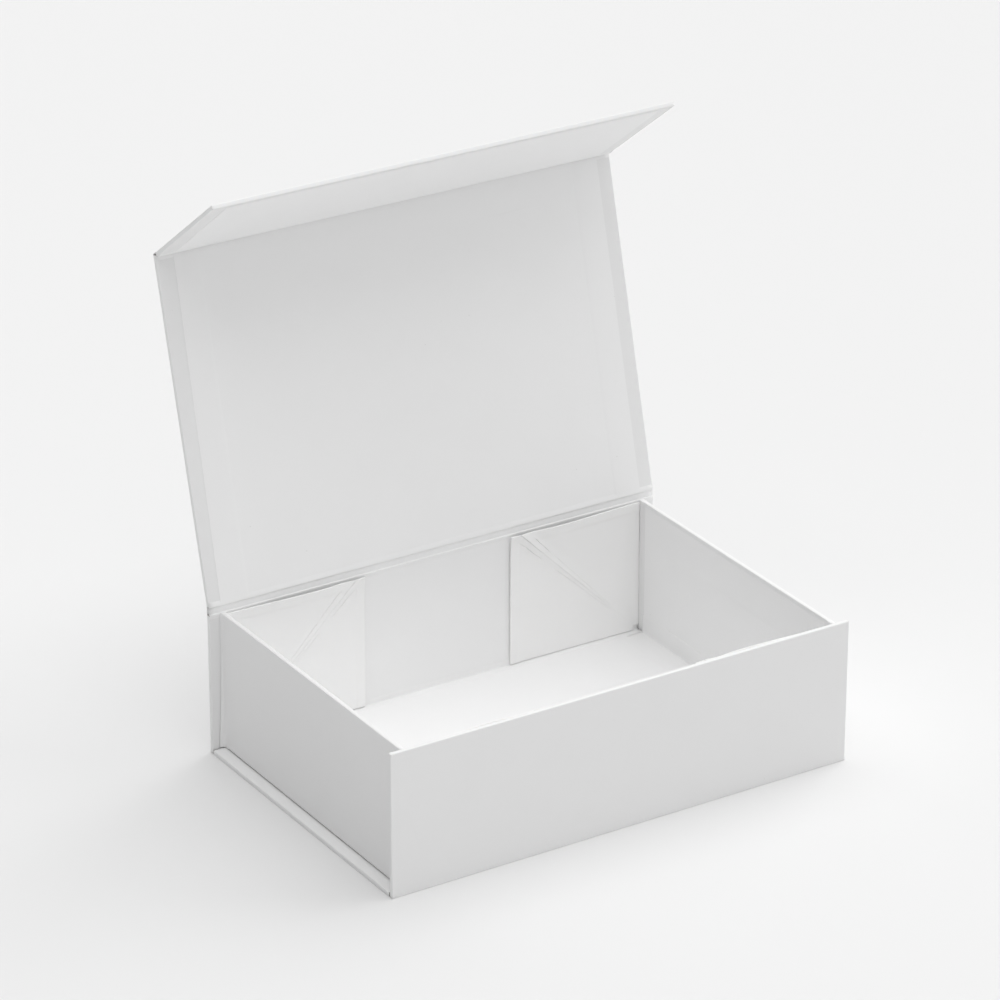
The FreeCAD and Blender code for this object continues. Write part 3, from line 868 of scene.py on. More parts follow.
def loft(rings: Sequence[Sequence[tuple[float, float, float]]]) -> bpy.types.Mesh:
    """Closed solid through a row of closed outlines.

    Args:
        rings: outlines with the same number of points, from one end to the other.

    Returns:
        The mesh, with its normals made to face outwards.
    """
    count = len(rings[0])
    vertices = [point for ring in rings for point in ring]
    faces = [list(range(count))[::-1], [len(vertices) - count + number for number in range(count)]]
    for row in range(len(rings) - 1):
        for number in range(count):
            here, there = row * count + number, row * count + (number + 1) % count
            faces.append([here, there, there + count, here + count])
    mesh = bpy.data.meshes.new("loft")
    mesh.from_pydata(vertices, [], faces)
    mesh.update()
    shape = bmesh.new()
    shape.from_mesh(mesh)
    bmesh.ops.recalc_face_normals(shape, faces=shape.faces)
    shape.to_mesh(mesh)
    shape.free()
    return mesh


def new_piece(name: str, mesh: bpy.types.Mesh, edge: np.ndarray | None = None) -> bpy.types.Object:
    """Makes a smooth piece from a mesh and gives it the attributes that the finishes read.

    Args:
        name: the piece's name.
        mesh: its mesh, already in place.
        edge: how rubbed each vertex is, or None for not at all.

    Returns:
        The piece.
    """
    mesh.name = name
    mesh.shade_smooth()
    places = np.zeros(len(mesh.vertices) * 3, np.float32)
    mesh.vertices.foreach_get("co", places)
    mesh.attributes.new("sheet", "FLOAT_VECTOR", "POINT").data.foreach_set("vector", places)
    rubbed = np.zeros(len(mesh.vertices), np.float32) if edge is None else edge.astype(np.float32)
    mesh.attributes.new("edge", "FLOAT", "POINT").data.foreach_set("value", rubbed)
    piece = bpy.data.objects.new(name, mesh)
    bpy.context.scene.collection.objects.link(piece)
    return piece


# ------------------------------------------------------------------ the box's own sizes

@dataclass(frozen=True)
class PanelFrame:
    """Where one panel lies: its fold line's middle, its turn about Z and its tilt, in degrees.

    In the panel's own frame x runs along the fold line, y away from it and z from the outer
    face to the inner one.
    """

    body: str
    origin: tuple[float, float, float]
    turn: float
    tilt: float

    @property
    def matrix(self) -> Matrix:
        """Matrix from the panel's frame to the box's."""
        tilted = Matrix.Rotation(math.radians(self.tilt), 4, "X")
        turned = Matrix.Rotation(math.radians(self.turn), 4, "Z") @ tilted
        return Matrix.Translation(self.origin) @ turned

    def span(self, node: str) -> tuple[Vector, Vector]:
        """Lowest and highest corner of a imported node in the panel's frame.

        Args:
            node: the node's name.

        Returns:
            The two corners.
        """
        back = self.matrix.inverted()
        points = [back @ vertex.co for vertex in frame["nodes"][node].data.vertices]
        low = Vector(min(point[axis] for point in points) for axis in range(3))
        high = Vector(max(point[axis] for point in points) for axis in range(3))
        return low, high

    def point(self, x: float, y: float, z: float) -> Vector:
        """Place in the box's frame of a point in the panel's."""
        return self.matrix @ Vector((x, y, z))


@dataclass(frozen=True)
class BoxSizes:
    """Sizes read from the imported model."""

    half_width: float
    half_depth: float
    wall_height: float
    panel: float
    paper: float
    side_face: float
    lining_half: float
    joints: dict[str, dict]

    @classmethod
    def read(cls) -> "BoxSizes":
        """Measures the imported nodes."""
        return cls(
            half_width=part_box("base_wrap")[1].x,
            half_depth=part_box("back_wall_wrap")[1].y,
            wall_height=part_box("front_wall_wrap")[1].z,
            panel=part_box("base_lining")[1].z,
            paper=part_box("back_fold_paper")[1].z,
            side_face=-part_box("left_wall_wrap")[0].x,
            lining_half=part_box("base_lining")[1].x,
            joints={joint["name"]: joint for joint in frame["joints"]},
        )

    def frames(self) -> dict[str, PanelFrame]:
        """Frame of every panel at rest, from the sizes and the joints."""
        lid, flap = self.joints["lid_hinge"], self.joints["flap_fold"]
        lid_tilt = -lid["range_deg"][0]
        flap_tilt = lid_tilt - flap["range_deg"][0]
        rows = [
            PanelFrame("base", (0.0, 0.0, 0.0), 0.0, 0.0),
            PanelFrame("front_wall", (0.0, -self.half_depth, 0.0), 180.0, 90.0),
            PanelFrame("back_wall", (0.0, self.half_depth, 0.0), 0.0, 90.0),
            PanelFrame("left_wall", (-self.side_face, 0.0, 0.0), 90.0, 90.0),
            PanelFrame("right_wall", (self.side_face, 0.0, 0.0), -90.0, 90.0),
            PanelFrame("lid", tuple(lid["pos_m"]), 0.0, lid_tilt),
            PanelFrame("flap", tuple(flap["pos_m"]), 0.0, flap_tilt),
        ]
        return {row.body: row for row in rows}


@dataclass
class Workshop:
    """What every sub-assembly is built with."""

    sizes: BoxSizes = field(default_factory=BoxSizes.read)
    rack: FinishRack = field(default_factory=FinishRack)
    trees: PaperTrees = field(default_factory=PaperTrees)

    def __post_init__(self) -> None:
        """Works out the panels' frames."""
        self.frames = self.sizes.frames()

    def keep(self, piece: bpy.types.Object, surface: Surface, nodes: Sequence[str]) -> bpy.types.Object:
        """Dresses a piece, hides the nodes that it stands for and reports it.

        Args:
            piece: the piece, final.
            surface: its finish.
            nodes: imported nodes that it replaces.

        Returns:
            The piece.
        """
        self.rack.dress(piece, surface)
        if nodes:
            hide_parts(*nodes)
        LOG.info("%s: %d faces, for %s", piece.name, len(piece.data.polygons),
                 ", ".join(nodes) or "no node")
        return piece


# ------------------------------------------------------------------ panels

@dataclass
class CoveredPanel:
    """A board in its covering paper, with the lining pasted over the turned-in edges."""

    shop: Workshop
    name: str
    seed: int
    turn_in: float = 20 * MM
    edge_radius: float = 0.45 * MM
    lining_radius: float = 0.055 * MM
    ridge_softness: float = 0.7 * MM
    ripple_height: float = 0.035 * MM
    ripple_size: float = 55 * MM
    lining_slant: tuple[float, float] = (0.0, 0.0)

    def __post_init__(self) -> None:
        """Measures the panel in its own frame."""
        self.place = self.shop.frames[self.name]
        self.wrap = self.place.span(f"{self.name}_wrap")
        self.board = self.place.span(f"{self.name}_board")
        self.lining = self.place.span(f"{self.name}_lining")
        self.closed_end = self.wrap[1].y - self.board[1].y > 0.5 * self.shop.sizes.paper

    def window(self, margin: float) -> tuple[Vector, Vector]:
        """Bare part of the board inside the turned-in edges.

        Args:
            margin: how much larger the window is made on each side.

        Returns:
            Its corners in the panel's frame, beyond the panel where an edge isn't turned in.
        """
        beyond = 0.05
        side = self.wrap[1].x - self.turn_in + margin
        far = self.wrap[1].y - self.turn_in + margin if self.closed_end else self.wrap[1].y + beyond
        return Vector((-side, self.wrap[0].y - beyond, 0.0)), Vector((side, far, 0.0))

    def grow(self, name: str, span: tuple[Vector, Vector], radius: float, window: tuple[Vector, Vector],
             softness: float, depth: float, level: float, surface: Surface) -> bpy.types.Object:
        """Makes one sheet of the panel with the sheet tree.

        Args:
            name: the piece's name.
            span: its corners in the panel's frame.
            radius: radius of its edges.
            window: corners of the part that sinks.
            softness: half the width of the slope round that part.
            depth: how far the part sinks.
            level: only what is above this height sinks.
            surface: its finish.

        Returns:
            The sheet, in place.
        """
        low, high = span
        lines = []
        for axis in range(3):
            marks = edge_marks(low[axis], high[axis], radius)
            if axis < 2:
                for mark in (window[0][axis], window[1][axis]):
                    near = [mark + softness * step for step in (-1.0, -0.5, 0.0, 0.5, 1.0)]
                    least, most = low[axis] + 3 * radius, high[axis] - 3 * radius
                    marks += [value for value in near if least < value < most]
            lines.append(spaced(marks, 6 * MM))
        values = {"Low": low, "High": high, "Edge Radius": radius, "Window Low": window[0],
                  "Window High": window[1], "Window Depth": depth, "Window Softness": softness,
                  "Face Level": level, "Ripple Height": self.ripple_height, "Ripple Size": self.ripple_size,
                  "Seed": self.seed, "Material": self.shop.rack.materials[surface]}
        return self.shop.trees.grow(name, lattice_box(*lines), self.shop.trees.cover, values)

    def build_wrap(self) -> bpy.types.Object:
        """Covering paper round the board."""
        paper = self.shop.sizes.paper
        piece = self.grow(f"{self.name}_cover", self.wrap, self.edge_radius, self.window(2 * MM),
                          0.9 * MM, 0.9 * paper, self.wrap[1].z / 2, Surface.WRAP)
        settle(piece, self.place.matrix)
        self.shop.keep(piece, Surface.WRAP, [f"{self.name}_wrap"])
        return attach(piece, self.name)

    def build_lining(self) -> bpy.types.Object:
        """Lining paper, which steps down from the turned-in edges to the board."""
        paper = self.shop.sizes.paper
        low, high = self.lining
        sheet = (Vector((low.x, low.y, high.z - paper)), Vector(high))
        piece = self.grow(f"{self.name}_inner_sheet", sheet, self.lining_radius, self.window(0.0),
                          self.ridge_softness, 0.97 * paper, -1.0, Surface.LINING)
        self.slant(piece)
        settle(piece, self.place.matrix)
        self.shop.keep(piece, Surface.LINING, [f"{self.name}_lining"])
        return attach(piece, self.name)

    def slant(self, piece: bpy.types.Object) -> None:
        """Shifts the lining's left edge, as where it was pasted a little askew.

        Args:
            piece: the lining, still in the panel's frame.
        """
        near, far = self.lining_slant
        if near == far == 0.0:
            return
        low, high = self.wrap
        for vertex in piece.data.vertices:
            share = clamped((-vertex.co.x - 0.8 * high.x) / (0.1 * high.x))
            along = (vertex.co.y - low.y) / (high.y - low.y)
            vertex.co.x += share * (near + (far - near) * along)

    def build(self) -> list[bpy.types.Object]:
        """Builds both papers and dresses the board between them."""
        self.shop.rack.dress(frame["nodes"][f"{self.name}_board"], Surface.BOARD)
        return [self.build_wrap(), self.build_lining()]


@dataclass
class PanelSet:
    """The seven covered panels."""

    shop: Workshop
    slants: dict[str, tuple[float, float]] = field(default_factory=lambda: {
        "lid": (-1.1 * MM, 1.5 * MM), "flap": (1.2 * MM, 0.4 * MM), "base": (0.4 * MM, -0.5 * MM)})

    def build(self) -> list[bpy.types.Object]:
        """Builds every panel."""
        pieces = []
        for seed, name in enumerate(self.shop.frames, start=1):
            panel = CoveredPanel(self.shop, name, seed, lining_slant=self.slants.get(name, (0.0, 0.0)))
            pieces += panel.build()
        return pieces


# ------------------------------------------------------------------ folds

@dataclass
class FoldPapers:
    """Soft strips of paper across the folds of the long strip of panels."""

    shop: Workshop
    tuck: float = 0.16 * MM
    side_inset: float = 0.05 * MM
    bedding: float = 0.09 * MM
    ripple_height: float = 0.05 * MM
    ripple_size: float = 14 * MM
    rubbing: float = 0.25
    columns: int = 90

    def strip(self, name: str, corners: Sequence[tuple[float, float, float]], half: float, surface: Surface,
              seed: int, ripple: float = 1.0) -> bpy.types.Object:
        """Lays one strip.

        Args:
            name: the piece's name.
            corners: its path, as rounded_path takes it.
            half: half of its width.
            surface: its finish.
            seed: which ripples it has.
            ripple: how strong they are.

        Returns:
            The strip, in the frame that its path is in.
        """
        path = rounded_path(corners)
        values = {"Half Width": half, "Thickness": self.shop.sizes.paper, "Columns": self.columns,
                  "Rows": 3 * len(path), "Ripple Height": self.ripple_height * ripple,
                  "Ripple Size": self.ripple_size, "Seed": seed,
                  "Material": self.shop.rack.materials[surface]}
        piece = self.shop.trees.grow(name, path_mesh(path), self.shop.trees.strip, values)
        edge = piece.data.attributes.new("edge", "FLOAT", "POINT")
        edge.data.foreach_set("value", np.full(len(piece.data.vertices), self.rubbing, np.float32))
        return piece

    def build_lid_hinge(self) -> None:
        """Four strips that carry the lid above the back wall, two outside and two inside."""
        sizes, lid = self.shop.sizes, self.shop.frames["lid"]
        out, top, face = sizes.half_depth, sizes.wall_height, sizes.panel
        wall_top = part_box("back_wall_wrap")[1].z
        level = lid.origin[2]
        middle = (top + level) / 2

        def on_lid(along: float, inward: float) -> tuple[float, float]:
            """Place (back, up) of a point in the lid's frame."""
            spot = lid.point(0.0, along, inward)
            return spot.y, spot.z

        half = sizes.half_width - self.side_inset
        lower_out = [(out - self.tuck, wall_top - 1.2 * MM, 0), (out, wall_top - 0.1 * MM, 0.4 * MM),
                     (out, middle, 0)]
        upper_out = [(out, middle, 0), (out, level, 0.3 * MM), (*on_lid(0.35 * MM, 0.02 * MM), 0.3 * MM),
                     (*on_lid(1.6 * MM, self.tuck), 0)]
        piece = self.strip("hinge_outer_lower", lower_out, half, Surface.WRAP, 21)
        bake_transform(piece)
        self.shop.keep(piece, Surface.WRAP, ["lid_hinge_paper"])
        piece = self.strip("hinge_outer_upper", upper_out, half, Surface.WRAP, 22)
        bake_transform(piece)
        self.shop.keep(piece, Surface.WRAP, [])

        inner = out - face + 0.11 * MM
        lip, seam = out - 1.7 * MM, top + 0.2 * MM
        lower_in = [(inner + 0.16 * MM, wall_top - 1.7 * MM, 0), (inner, wall_top - 0.5 * MM, 0.4 * MM),
                    (inner, wall_top + 0.12 * MM, 0.2 * MM), (lip, wall_top + 0.45 * MM, 0.15 * MM),
                    (lip, seam, 0)]
        inner_face = face - self.bedding
        upper_in = [(lip, seam, 0), (lip + 0.1 * MM, level - 1.2 * MM, 0.5 * MM),
                    (lip + 0.4 * MM, level - 0.1 * MM, 0.3 * MM),
                    (*on_lid(0.0, inner_face - 0.5 * MM), 0.2 * MM),
                    (*on_lid(0.2 * MM, inner_face), 0.4 * MM), (*on_lid(1.1 * MM, inner_face), 0.3 * MM),
                    (*on_lid(2.4 * MM, inner_face - self.tuck), 0)]
        piece = self.strip("hinge_inner_lower", lower_in, half - 0.1 * MM, Surface.LINING, 23, 1.6)
        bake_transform(piece)
        self.shop.keep(piece, Surface.LINING, ["lid_hinge_lining"])
        piece = self.strip("hinge_inner_upper", upper_in, half - 0.1 * MM, Surface.LINING, 24, 1.6)
        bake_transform(piece)
        self.shop.keep(piece, Surface.LINING, [])

    def build_flap_fold(self) -> None:
        """Outer crease, the lining's end on the lid and the lining's strip on the flap."""
        sizes, lid, flap = self.shop.sizes, self.shop.frames["lid"], self.shop.frames["flap"]
        fold = Vector(flap.origin)
        lid_end = lid.span("lid_wrap")[1].y
        start = flap.span("flap_wrap")[0].y
        half = sizes.half_width - self.side_inset
        face = sizes.panel - self.bedding

        def spot(panel: PanelFrame, along: float, inward: float, bend: float) -> tuple[float, float, float]:
            """Path corner from a point in a panel's frame."""
            place = panel.point(0.0, along, inward)
            return place.y, place.z, bend

        outer = [spot(lid, lid_end - 1.3 * MM, self.tuck, 0), spot(lid, lid_end - 0.2 * MM, 0, 0.3 * MM),
                 (fold.y, fold.z, 0.35 * MM), spot(flap, start + 0.2 * MM, 0, 0.3 * MM),
                 spot(flap, start + 1.4 * MM, self.tuck, 0)]
        piece = self.strip("flap_crease", outer, half, Surface.WRAP, 25)
        side = (flap.point(0, MM, 0) - fold) + (lid.point(0, 0, 0) - lid.point(0, -MM, 0))
        side = side.normalized() * 0.35 * MM
        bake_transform(piece)
        self.shop.keep(piece, Surface.WRAP, ["flap_fold_paper"])

        lid_lip = [spot(lid, lid_end - 2.4 * MM, face - self.tuck, 0),
                   spot(lid, lid_end - 1.1 * MM, face - 0.03 * MM, 0.3 * MM),
                   spot(lid, lid_end - 0.18 * MM, face - 0.04 * MM, 0.4 * MM),
                   spot(lid, lid_end - 0.17 * MM, 0.3 * MM, 0)]
        piece = self.strip("lid_end_lining", lid_lip, half - 0.1 * MM, Surface.LINING, 26, 0.2)
        self.shop.keep(piece, Surface.LINING, [])
        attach(piece, "lid")

        strip = [spot(flap, 0.35 * MM, -0.02 * MM, 0), spot(flap, start + 0.02 * MM, 0, 0.2 * MM),
                 spot(flap, start + 0.06 * MM, face, 0.4 * MM),
                 spot(flap, start + 1.1 * MM, face, 0.3 * MM),
                 spot(flap, start + 2.4 * MM, face - self.tuck, 0)]
        piece = self.strip("flap_groove_lining", strip, half - 0.1 * MM, Surface.LINING, 27, 0.2)
        self.shop.keep(piece, Surface.LINING, ["flap_fold_lining"])
        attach(piece, "flap")

    def build_wall_feet(self) -> None:
        """Covering paper under the front and back edges, and the lining across their inner corners."""
        sizes = self.shop.sizes
        out, face = sizes.half_depth, sizes.panel
        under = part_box("base_wrap")[1].y
        for wall, sign in (("back", 1), ("front", -1)):
            outer = [(under - 0.8 * MM, self.tuck, 0), (under + 0.1 * MM, 0, 0.3 * MM), (out, 0, 0.4 * MM),
                     (out, 0.9 * MM, 0.3 * MM), (out - self.tuck, 1.9 * MM, 0)]
            lift = face - self.bedding
            inner = [(under - 2.6 * MM, lift - self.tuck, 0), (under - 1.3 * MM, lift, 0.3 * MM),
                     (out - lift, lift, 0.7 * MM), (out - lift, lift + 1.6 * MM, 0.3 * MM),
                     (out - lift + self.tuck, lift + 2.9 * MM, 0)]
            if sign < 0:
                outer = [(-back, up, bend) for back, up, bend in outer[::-1]]
                inner = [(-back, up, bend) for back, up, bend in inner[::-1]]
            piece = self.strip(f"{wall}_foot_paper", outer, sizes.half_width - self.side_inset, Surface.WRAP,
                               28 + sign)
            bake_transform(piece)
            self.shop.keep(piece, Surface.WRAP, [f"{wall}_fold_paper"])
            piece = self.strip(f"{wall}_floor_lining", inner, sizes.lining_half, Surface.LINING, 31 + sign)
            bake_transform(piece)
            self.shop.keep(piece, Surface.LINING, [])

    def build_side_feet(self) -> None:
        """Paper hinges along the inner feet of the side walls."""
        for seed, side in enumerate(("left", "right"), start=41):
            place = self.shop.frames[f"{side}_wall"]
            node = f"{side}_wall_hinge_paper"
            low, high = place.span(node)
            foot = low.y - self.bedding
            wall = low.z - self.bedding
            corners = [(foot - self.tuck, high.z + 0.2 * MM, 0), (foot, high.z - 1.2 * MM, 0.4 * MM),
                       (foot, wall, 0.5 * MM), (high.y - 1.2 * MM, wall, 0.4 * MM),
                       (high.y + 0.2 * MM, wall - self.tuck, 0)]
            length = place.span(f"{side}_wall_wrap")[1].x - 0.4 * MM
            piece = self.strip(f"{side}_foot_hinge", corners, length, Surface.LINING, seed)
            settle(piece, place.matrix)
            lean = (place.point(0, MM, -MM) - place.point(0, 0, 0)).normalized() * 0.4 * MM
            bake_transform(piece)
            self.shop.keep(piece, Surface.LINING, [node])

    def build(self) -> None:
        """Builds every strip."""
        self.build_lid_hinge()
        self.build_flap_fold()
        self.build_wall_feet()
        self.build_side_feet()


# ------------------------------------------------------------------ corners

@dataclass
class CornerFold:
    """Card folded from a side wall's end to the front or back wall."""

    shop: Workshop
    side: str
    end: str
    top_flare: float = 0.5 * MM
    foot_flare: float = 2.4 * MM
    rows: int = 24

    def outline(self, up: float, share: float, shrink: float) -> list[tuple[float, float, float]]:
        """Outline of the fold at one height.

        Args:
            up: the height.
            share: 0 at the foot and 1 at the top.
            shrink: how far the outline is pulled in, to round the ends.

        Returns:
            Points round the outline.
        """
        sizes = self.shop.sizes
        face = sizes.side_face
        wall = sizes.half_depth - sizes.panel - 0.06 * MM
        inner = face - sizes.panel + 0.03 * MM
        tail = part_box(f"{self.side}_wall_wrap")[1].y - 0.5 * MM
        gusset = abs(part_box(f"{self.end}_{self.side}_gusset_free")[0 if self.end == "back" else 1].y)
        flare = self.top_flare + (self.foot_flare - self.top_flare) * (1 - share) ** 2.2
        outer = face + 0.015 * MM
        points = [(inner, tail), (inner, tail + 0.1 * MM), (inner, gusset - 0.1 * MM),
                  (inner + 0.2 * MM, wall - 0.2 * MM),
                  (inner + 0.4 * MM, wall), (outer + flare, wall)]
        for step in range(1, 8):
            angle = math.pi / 2 * step / 7
            points.append((outer + flare * (1 - math.sin(angle)),
                           wall - 0.05 * MM - 1.3 * flare * (1 - math.cos(angle))))
        points += [(outer, tail + 0.1 * MM), (outer, tail)]
        middle = np.mean(points, axis=0)
        flip = -1 if self.side == "left" else 1
        turn = -1 if self.end == "front" else 1
        pulled = [np.array(point) + (middle - point) / np.linalg.norm(middle - point) * shrink
                  for point in points]
        return [(flip * x, turn * y, up) for x, y in pulled]

    def build(self) -> bpy.types.Object:
        """Builds the fold and rides it on its side wall."""
        low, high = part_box(f"{self.side}_wall_wrap")[0].z, self.shop.sizes.wall_height - 0.12 * MM
        heights = [(low, 0.15), (low + 0.1 * MM, 0.0)]
        heights += [(low + (high - low) * step / self.rows, 0.0) for step in range(1, self.rows)]
        heights += [(high - 0.35 * MM, 0.0), (high - 0.1 * MM, 0.12), (high, 0.35)]
        rings = [self.outline(up, (up - low) / (high - low), shrink * MM) for up, shrink in heights]
        piece = new_piece(f"{self.side}_{self.end}_corner_fold", loft(rings))
        self.shop.keep(piece, Surface.WRAP, [f"{self.side}_{self.end}_corner_paper"])
        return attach(piece, f"{self.side}_wall")


@dataclass
class Gusset:
    """Folding card in one corner: a half pasted to the wall and a half that folds over it."""

    shop: Workshop
    wall: str
    side: str
    bulge: float = 1.6 * MM
    ridge: float = 1.5 * MM
    margin: float = 5.0 * MM
    lip: float = 0.5 * MM
    turn_in: float = 4.2 * MM
    turn_height: float = 0.12 * MM
    turn_edge: float = 0.35 * MM
    ridge_breadth: float = 0.8 * MM
    ridge_widening: float = 3.4 * MM
    ridge_growth: float = 1.2
    ridge_falloff: float = 1.25
    dent_depth: float = 0.35
    dent_place: float = 0.78
    dent_length: float = 0.05
    lip_run: float = 4 * MM
    lip_at_foot: float = 0.35
    bow_start: float = 0.16
    bow_skew: float = 1.7
    bow_growth: int = 3
    step_run: float = 3 * MM
    slack: float = 0.02 * MM
    cells: int = 46

    def __post_init__(self) -> None:
        """Measures the gusset in its wall's frame."""
        self.place = self.shop.frames[f"{self.wall}_wall"]
        self.name = f"{self.wall}_{self.side}_gusset"
        fixed, free = self.place.span(f"{self.name}_fixed"), self.place.span(f"{self.name}_free")
        self.sign = 1 if fixed[0].x > 0 else -1
        self.corner = self.shop.sizes.side_face - self.shop.sizes.panel
        self.foot = self.shop.sizes.panel
        self.size = free[1].y - self.foot
        self.back = fixed[0].z + self.slack
        self.step = free[0].z - fixed[0].z
        self.thickness = fixed[1].z - fixed[0].z
        self.gap = self.corner - max(abs(free[0].x), abs(free[1].x))
        self.trim = self.corner - max(abs(fixed[0].x), abs(fixed[1].x))

    def lift(self, inward: float, upward: float) -> float:
        """Height of the card's back face off the wall.

        Args:
            inward: distance from the corner along the wall.
            upward: distance from the floor.

        Returns:
            The height.
        """
        across = (upward - inward) / math.sqrt(2)
        along = (upward + inward) / (2 * self.size)
        breadth = self.ridge_breadth + self.ridge_widening * along
        falloff = math.exp(-(abs(across) / breadth) ** self.ridge_falloff)
        ridge = self.ridge * min(1.0, along) ** self.ridge_growth * falloff
        ridge *= 1.0 - self.dent_depth * math.exp(-((along - self.dent_place) / self.dent_length) ** 2)
        outside = clamped((inward - self.size + self.lip_run) / (self.margin + self.lip_run))
        rise = self.lip_at_foot + (1.0 - self.lip_at_foot) * upward / self.size
        ridge += self.lip * outside * outside * rise
        top = math.sin(math.pi * clamped(inward / self.size) ** self.bow_skew)
        sideways = eased(across / (self.bow_start * self.size))
        bow = self.bulge * top * sideways * (upward / self.size) ** self.bow_growth
        return ridge + bow + self.step * clamped(across / self.step_run)

    def turned(self, inward: float, upward: float) -> float:
        """Extra height of the front face where the card's paper is turned in at its rims."""
        depth = min(self.size - upward, self.size + self.margin - inward)
        return self.turn_height * eased((self.turn_in + self.turn_edge - depth) / (2 * self.turn_edge))

    def pasted_spot(self, s: float, t: float) -> tuple[float, float]:
        """Place (inward, upward) on the pasted half, with t = 1 along the crease and the top edge."""
        inward = self.trim + s * (self.size + self.margin - self.trim)
        return inward, self.gap + t * (min(inward, self.size) - self.gap)

    def folding_spot(self, s: float, t: float) -> tuple[float, float]:
        """Place (inward, upward) on the folding half, with t = 1 along the crease."""
        upward = self.size + s * (self.trim - self.size)
        return t * (upward + self.slack) - self.slack, upward

    def half(self, name: str, spot: Callable[[float, float], tuple[float, float]]) -> bpy.types.Object:
        """Makes one half of the card.

        Args:
            name: the piece's name.
            spot: place (inward, upward) for two shares from 0 to 1.

        Returns:
            The half, in place.
        """
        fine = [value / self.size for value in (0.0, 0.12 * MM, 0.4 * MM)]
        fine += [(self.turn_in + offset) / self.size for offset in (-self.turn_edge, 0.0, self.turn_edge)]
        lines = sorted({*fine, *(1 - value for value in fine),
                        *(step / self.cells for step in range(1, self.cells))})
        points = np.zeros((len(lines), len(lines), 3))
        relief = np.zeros((len(lines), len(lines)))
        for i, s in enumerate(lines):
            for j, t in enumerate(lines):
                inward, upward = spot(s, t)
                height = self.back + self.lift(inward, upward)
                points[i, j] = (self.sign * (self.corner - inward), self.foot + upward, height)
                relief[i, j] = self.turned(inward, upward)
        if self.sign < 0:
            points, relief = points[::-1], relief[::-1]
        mesh = sheet_shell(points, self.thickness)
        count = points.shape[0] * points.shape[1]
        for number, extra in enumerate(relief.reshape(-1)):
            mesh.vertices[count + number].co.z += extra
        to_end = np.minimum(np.arange(len(lines)), np.arange(len(lines))[::-1])
        rim = np.minimum.outer(to_end, to_end)
        edge = np.tile((rim <= 1).astype(float).reshape(-1), 2)
        mesh.transform(self.place.matrix)
        mesh.update()
        return new_piece(name, mesh, edge)

    def build(self) -> None:
        """Builds both halves, with the crease ridge in their shape, and dresses the tape."""
        fixed = self.half(f"{self.name}_pasted_half", self.pasted_spot)
        self.shop.keep(fixed, Surface.GUSSET, [f"{self.name}_fixed"])
        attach(fixed, f"{self.wall}_wall")
        free = self.half(f"{self.name}_folding_half", self.folding_spot)
        across, up = self.corner - self.size / 2, self.foot + self.size / 2
        crease = self.place.point(self.sign * across, up, self.back)
        beyond = self.place.point(self.sign * (across + MM), up + MM, self.back)
        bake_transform(free)
        self.shop.keep(free, Surface.GUSSET, [f"{self.name}_free"])
        self.shop.rack.dress(frame["nodes"][f"{self.name}_tape"], Surface.TAPE)


@dataclass
class Corners:
    """The four corners of the case."""

    shop: Workshop

    def build(self) -> None:
        """Builds the gussets and the folds beside them."""
        for wall in ("back", "front"):
            for side in ("left", "right"):
                Gusset(self.shop, wall, side).build()
                CornerFold(self.shop, side, wall).build()


@dataclass
class Closure:
    """The magnets in the flap and their keepers in the front wall, which are carried over."""

    shop: Workshop

    def build(self) -> None:
        """Dresses the four discs."""
        for side in ("left", "right"):
            self.shop.rack.dress(frame["nodes"][f"flap_magnet_{side}"], Surface.MAGNET)
            self.shop.rack.dress(frame["nodes"][f"keeper_disc_{side}"], Surface.STEEL)


# ------------------------------------------------------------------ studio

@dataclass(frozen=True)
class SoftLight:
    """One broad lamp: where it stands, in degrees round the box and above the floor, and its power."""

    name: str
    bearing: float
    height: float
    power: float
    spread: float = 70.0

    def build(self) -> bpy.types.Object:
        """Adds the lamp."""
        data = bpy.data.lights.new(self.name, "SUN")
        data.energy = self.power
        data.angle = math.radians(self.spread)
        lamp = bpy.data.objects.new(self.name, data)
        bearing, height = math.radians(self.bearing), math.radians(self.height)
        level = math.cos(height)
        toward = Vector((math.cos(bearing) * level, math.sin(bearing) * level, math.sin(height)))
        lamp.rotation_euler = toward.to_track_quat("Z", "Y").to_euler()
        bpy.context.scene.collection.objects.link(lamp)
        return lamp


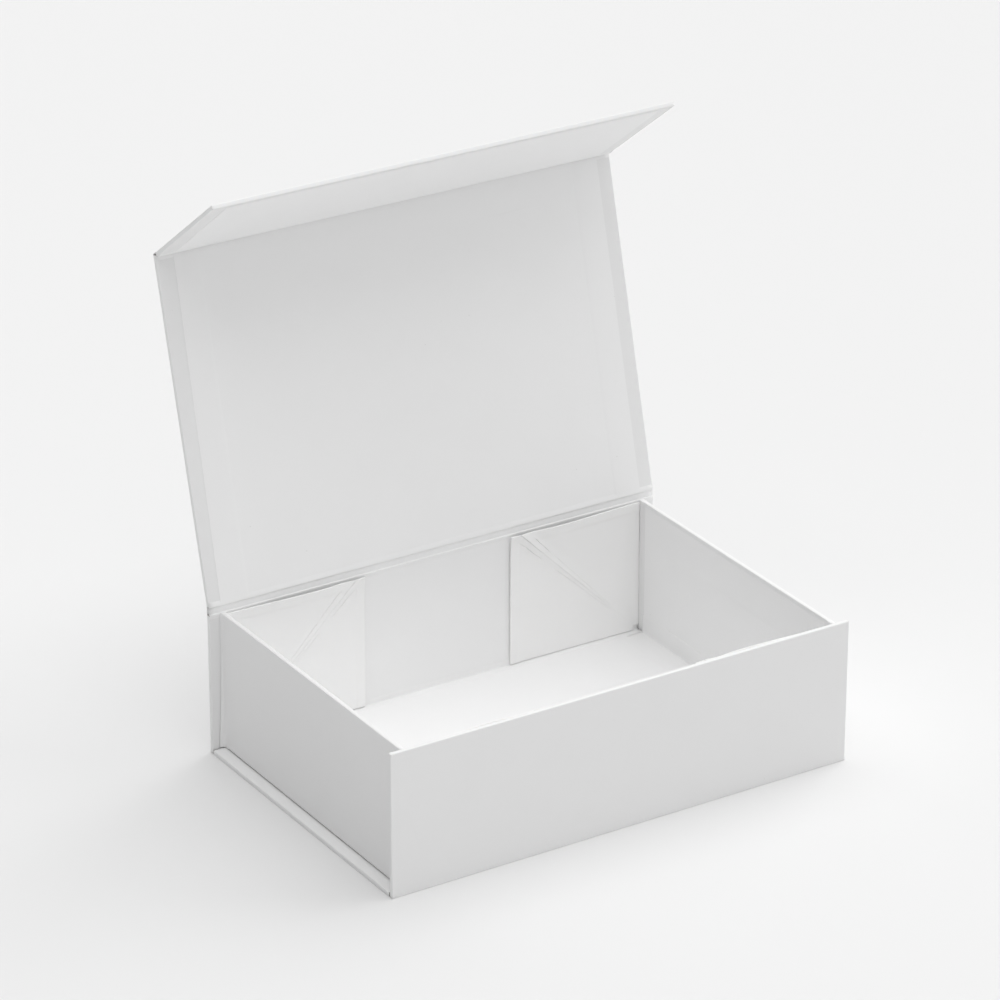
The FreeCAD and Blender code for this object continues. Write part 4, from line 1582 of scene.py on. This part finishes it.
@dataclass
class Studio:
    """Pale floor, soft light and the camera."""

    camera_place: tuple[float, float, float] = (-1.0340, -1.61915, 1.0184)
    camera_forward: tuple[float, float, float] = (0.48314, 0.76693, -0.42237)
    lens: float = 179.28
    sensor: float = 36.0
    floor_half: float = 30.0
    world_grey: float = 0.25
    horizon_grey: float = 0.88
    lights: tuple[SoftLight, ...] = (
        SoftLight("broad_right_light", 0.0, 25.0, 1.376),
        SoftLight("rear_right_light", 45.0, 25.0, 0.584),
        SoftLight("overhead_light", 0.0, 90.0, 1.40),
        SoftLight("left_fill", -130.0, 55.0, 0.38),
        SoftLight("front_fill", -90.0, 40.0, 0.26),
    )

    def build_floor(self) -> bpy.types.Object:
        """Plain pale floor."""
        half = self.floor_half
        mesh = bpy.data.meshes.new("floor")
        corners = [(-half, -half, 0), (half, -half, 0), (half, half, 0), (-half, half, 0)]
        mesh.from_pydata(corners, [], [(0, 1, 2, 3)])
        floor = bpy.data.objects.new("floor", mesh)
        material, w = blank_material("studio_floor")
        shader = w.add("ShaderNodeBsdfPrincipled", {"Base Color": (0.8, 0.8, 0.8, 1.0), "Roughness": 0.9,
                                                    "Specular IOR Level": 0.0})
        w.add("ShaderNodeOutputMaterial", {"Surface": shader.outputs[0]})
        floor.data.materials.append(material)
        bpy.context.scene.collection.objects.link(floor)
        return floor

    def build_light(self) -> None:
        """Even surround and the broad lamps."""
        world = bpy.data.worlds.new("studio")
        world.use_nodes = True
        tree = world.node_tree
        tree.nodes.clear()
        w = NodeWriter(tree)
        surround = w.add("ShaderNodeBackground", {"Color": (self.world_grey,) * 3 + (1.0,)})
        horizon = w.add("ShaderNodeBackground", {"Color": (self.horizon_grey,) * 3 + (1.0,)})
        seen = w.add("ShaderNodeLightPath").outputs["Is Camera Ray"]
        mixed = w.add("ShaderNodeMixShader", {0: seen, 1: surround.outputs[0], 2: horizon.outputs[0]})
        w.add("ShaderNodeOutputWorld", {"Surface": mixed.outputs[0]})
        bpy.context.scene.world = world
        for light in self.lights:
            light.build()

    def build_camera(self) -> bpy.types.Object:
        """Camera at the front left, looking down on the box."""
        data = bpy.data.cameras.new("camera")
        data.lens = self.lens
        data.sensor_width = self.sensor
        data.clip_end = 100.0
        camera = bpy.data.objects.new("camera", data)
        camera.location = self.camera_place
        camera.rotation_euler = Vector(self.camera_forward).to_track_quat("-Z", "Y").to_euler()
        bpy.context.scene.collection.objects.link(camera)
        bpy.context.scene.camera = camera
        return camera

    def build(self) -> None:
        """Builds the studio."""
        bpy.context.scene.view_settings.view_transform = "Standard"
        self.build_floor()
        self.build_light()
        self.build_camera()


def main() -> None:
    """Builds the box and its studio."""
    logging.basicConfig(level=logging.INFO, format="%(name)s: %(message)s")
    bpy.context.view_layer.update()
    shop = Workshop()
    PanelSet(shop).build()
    FoldPapers(shop).build()
    Corners(shop).build()
    Closure(shop).build()
    Studio().build()


if __name__ == "__main__":
    main()
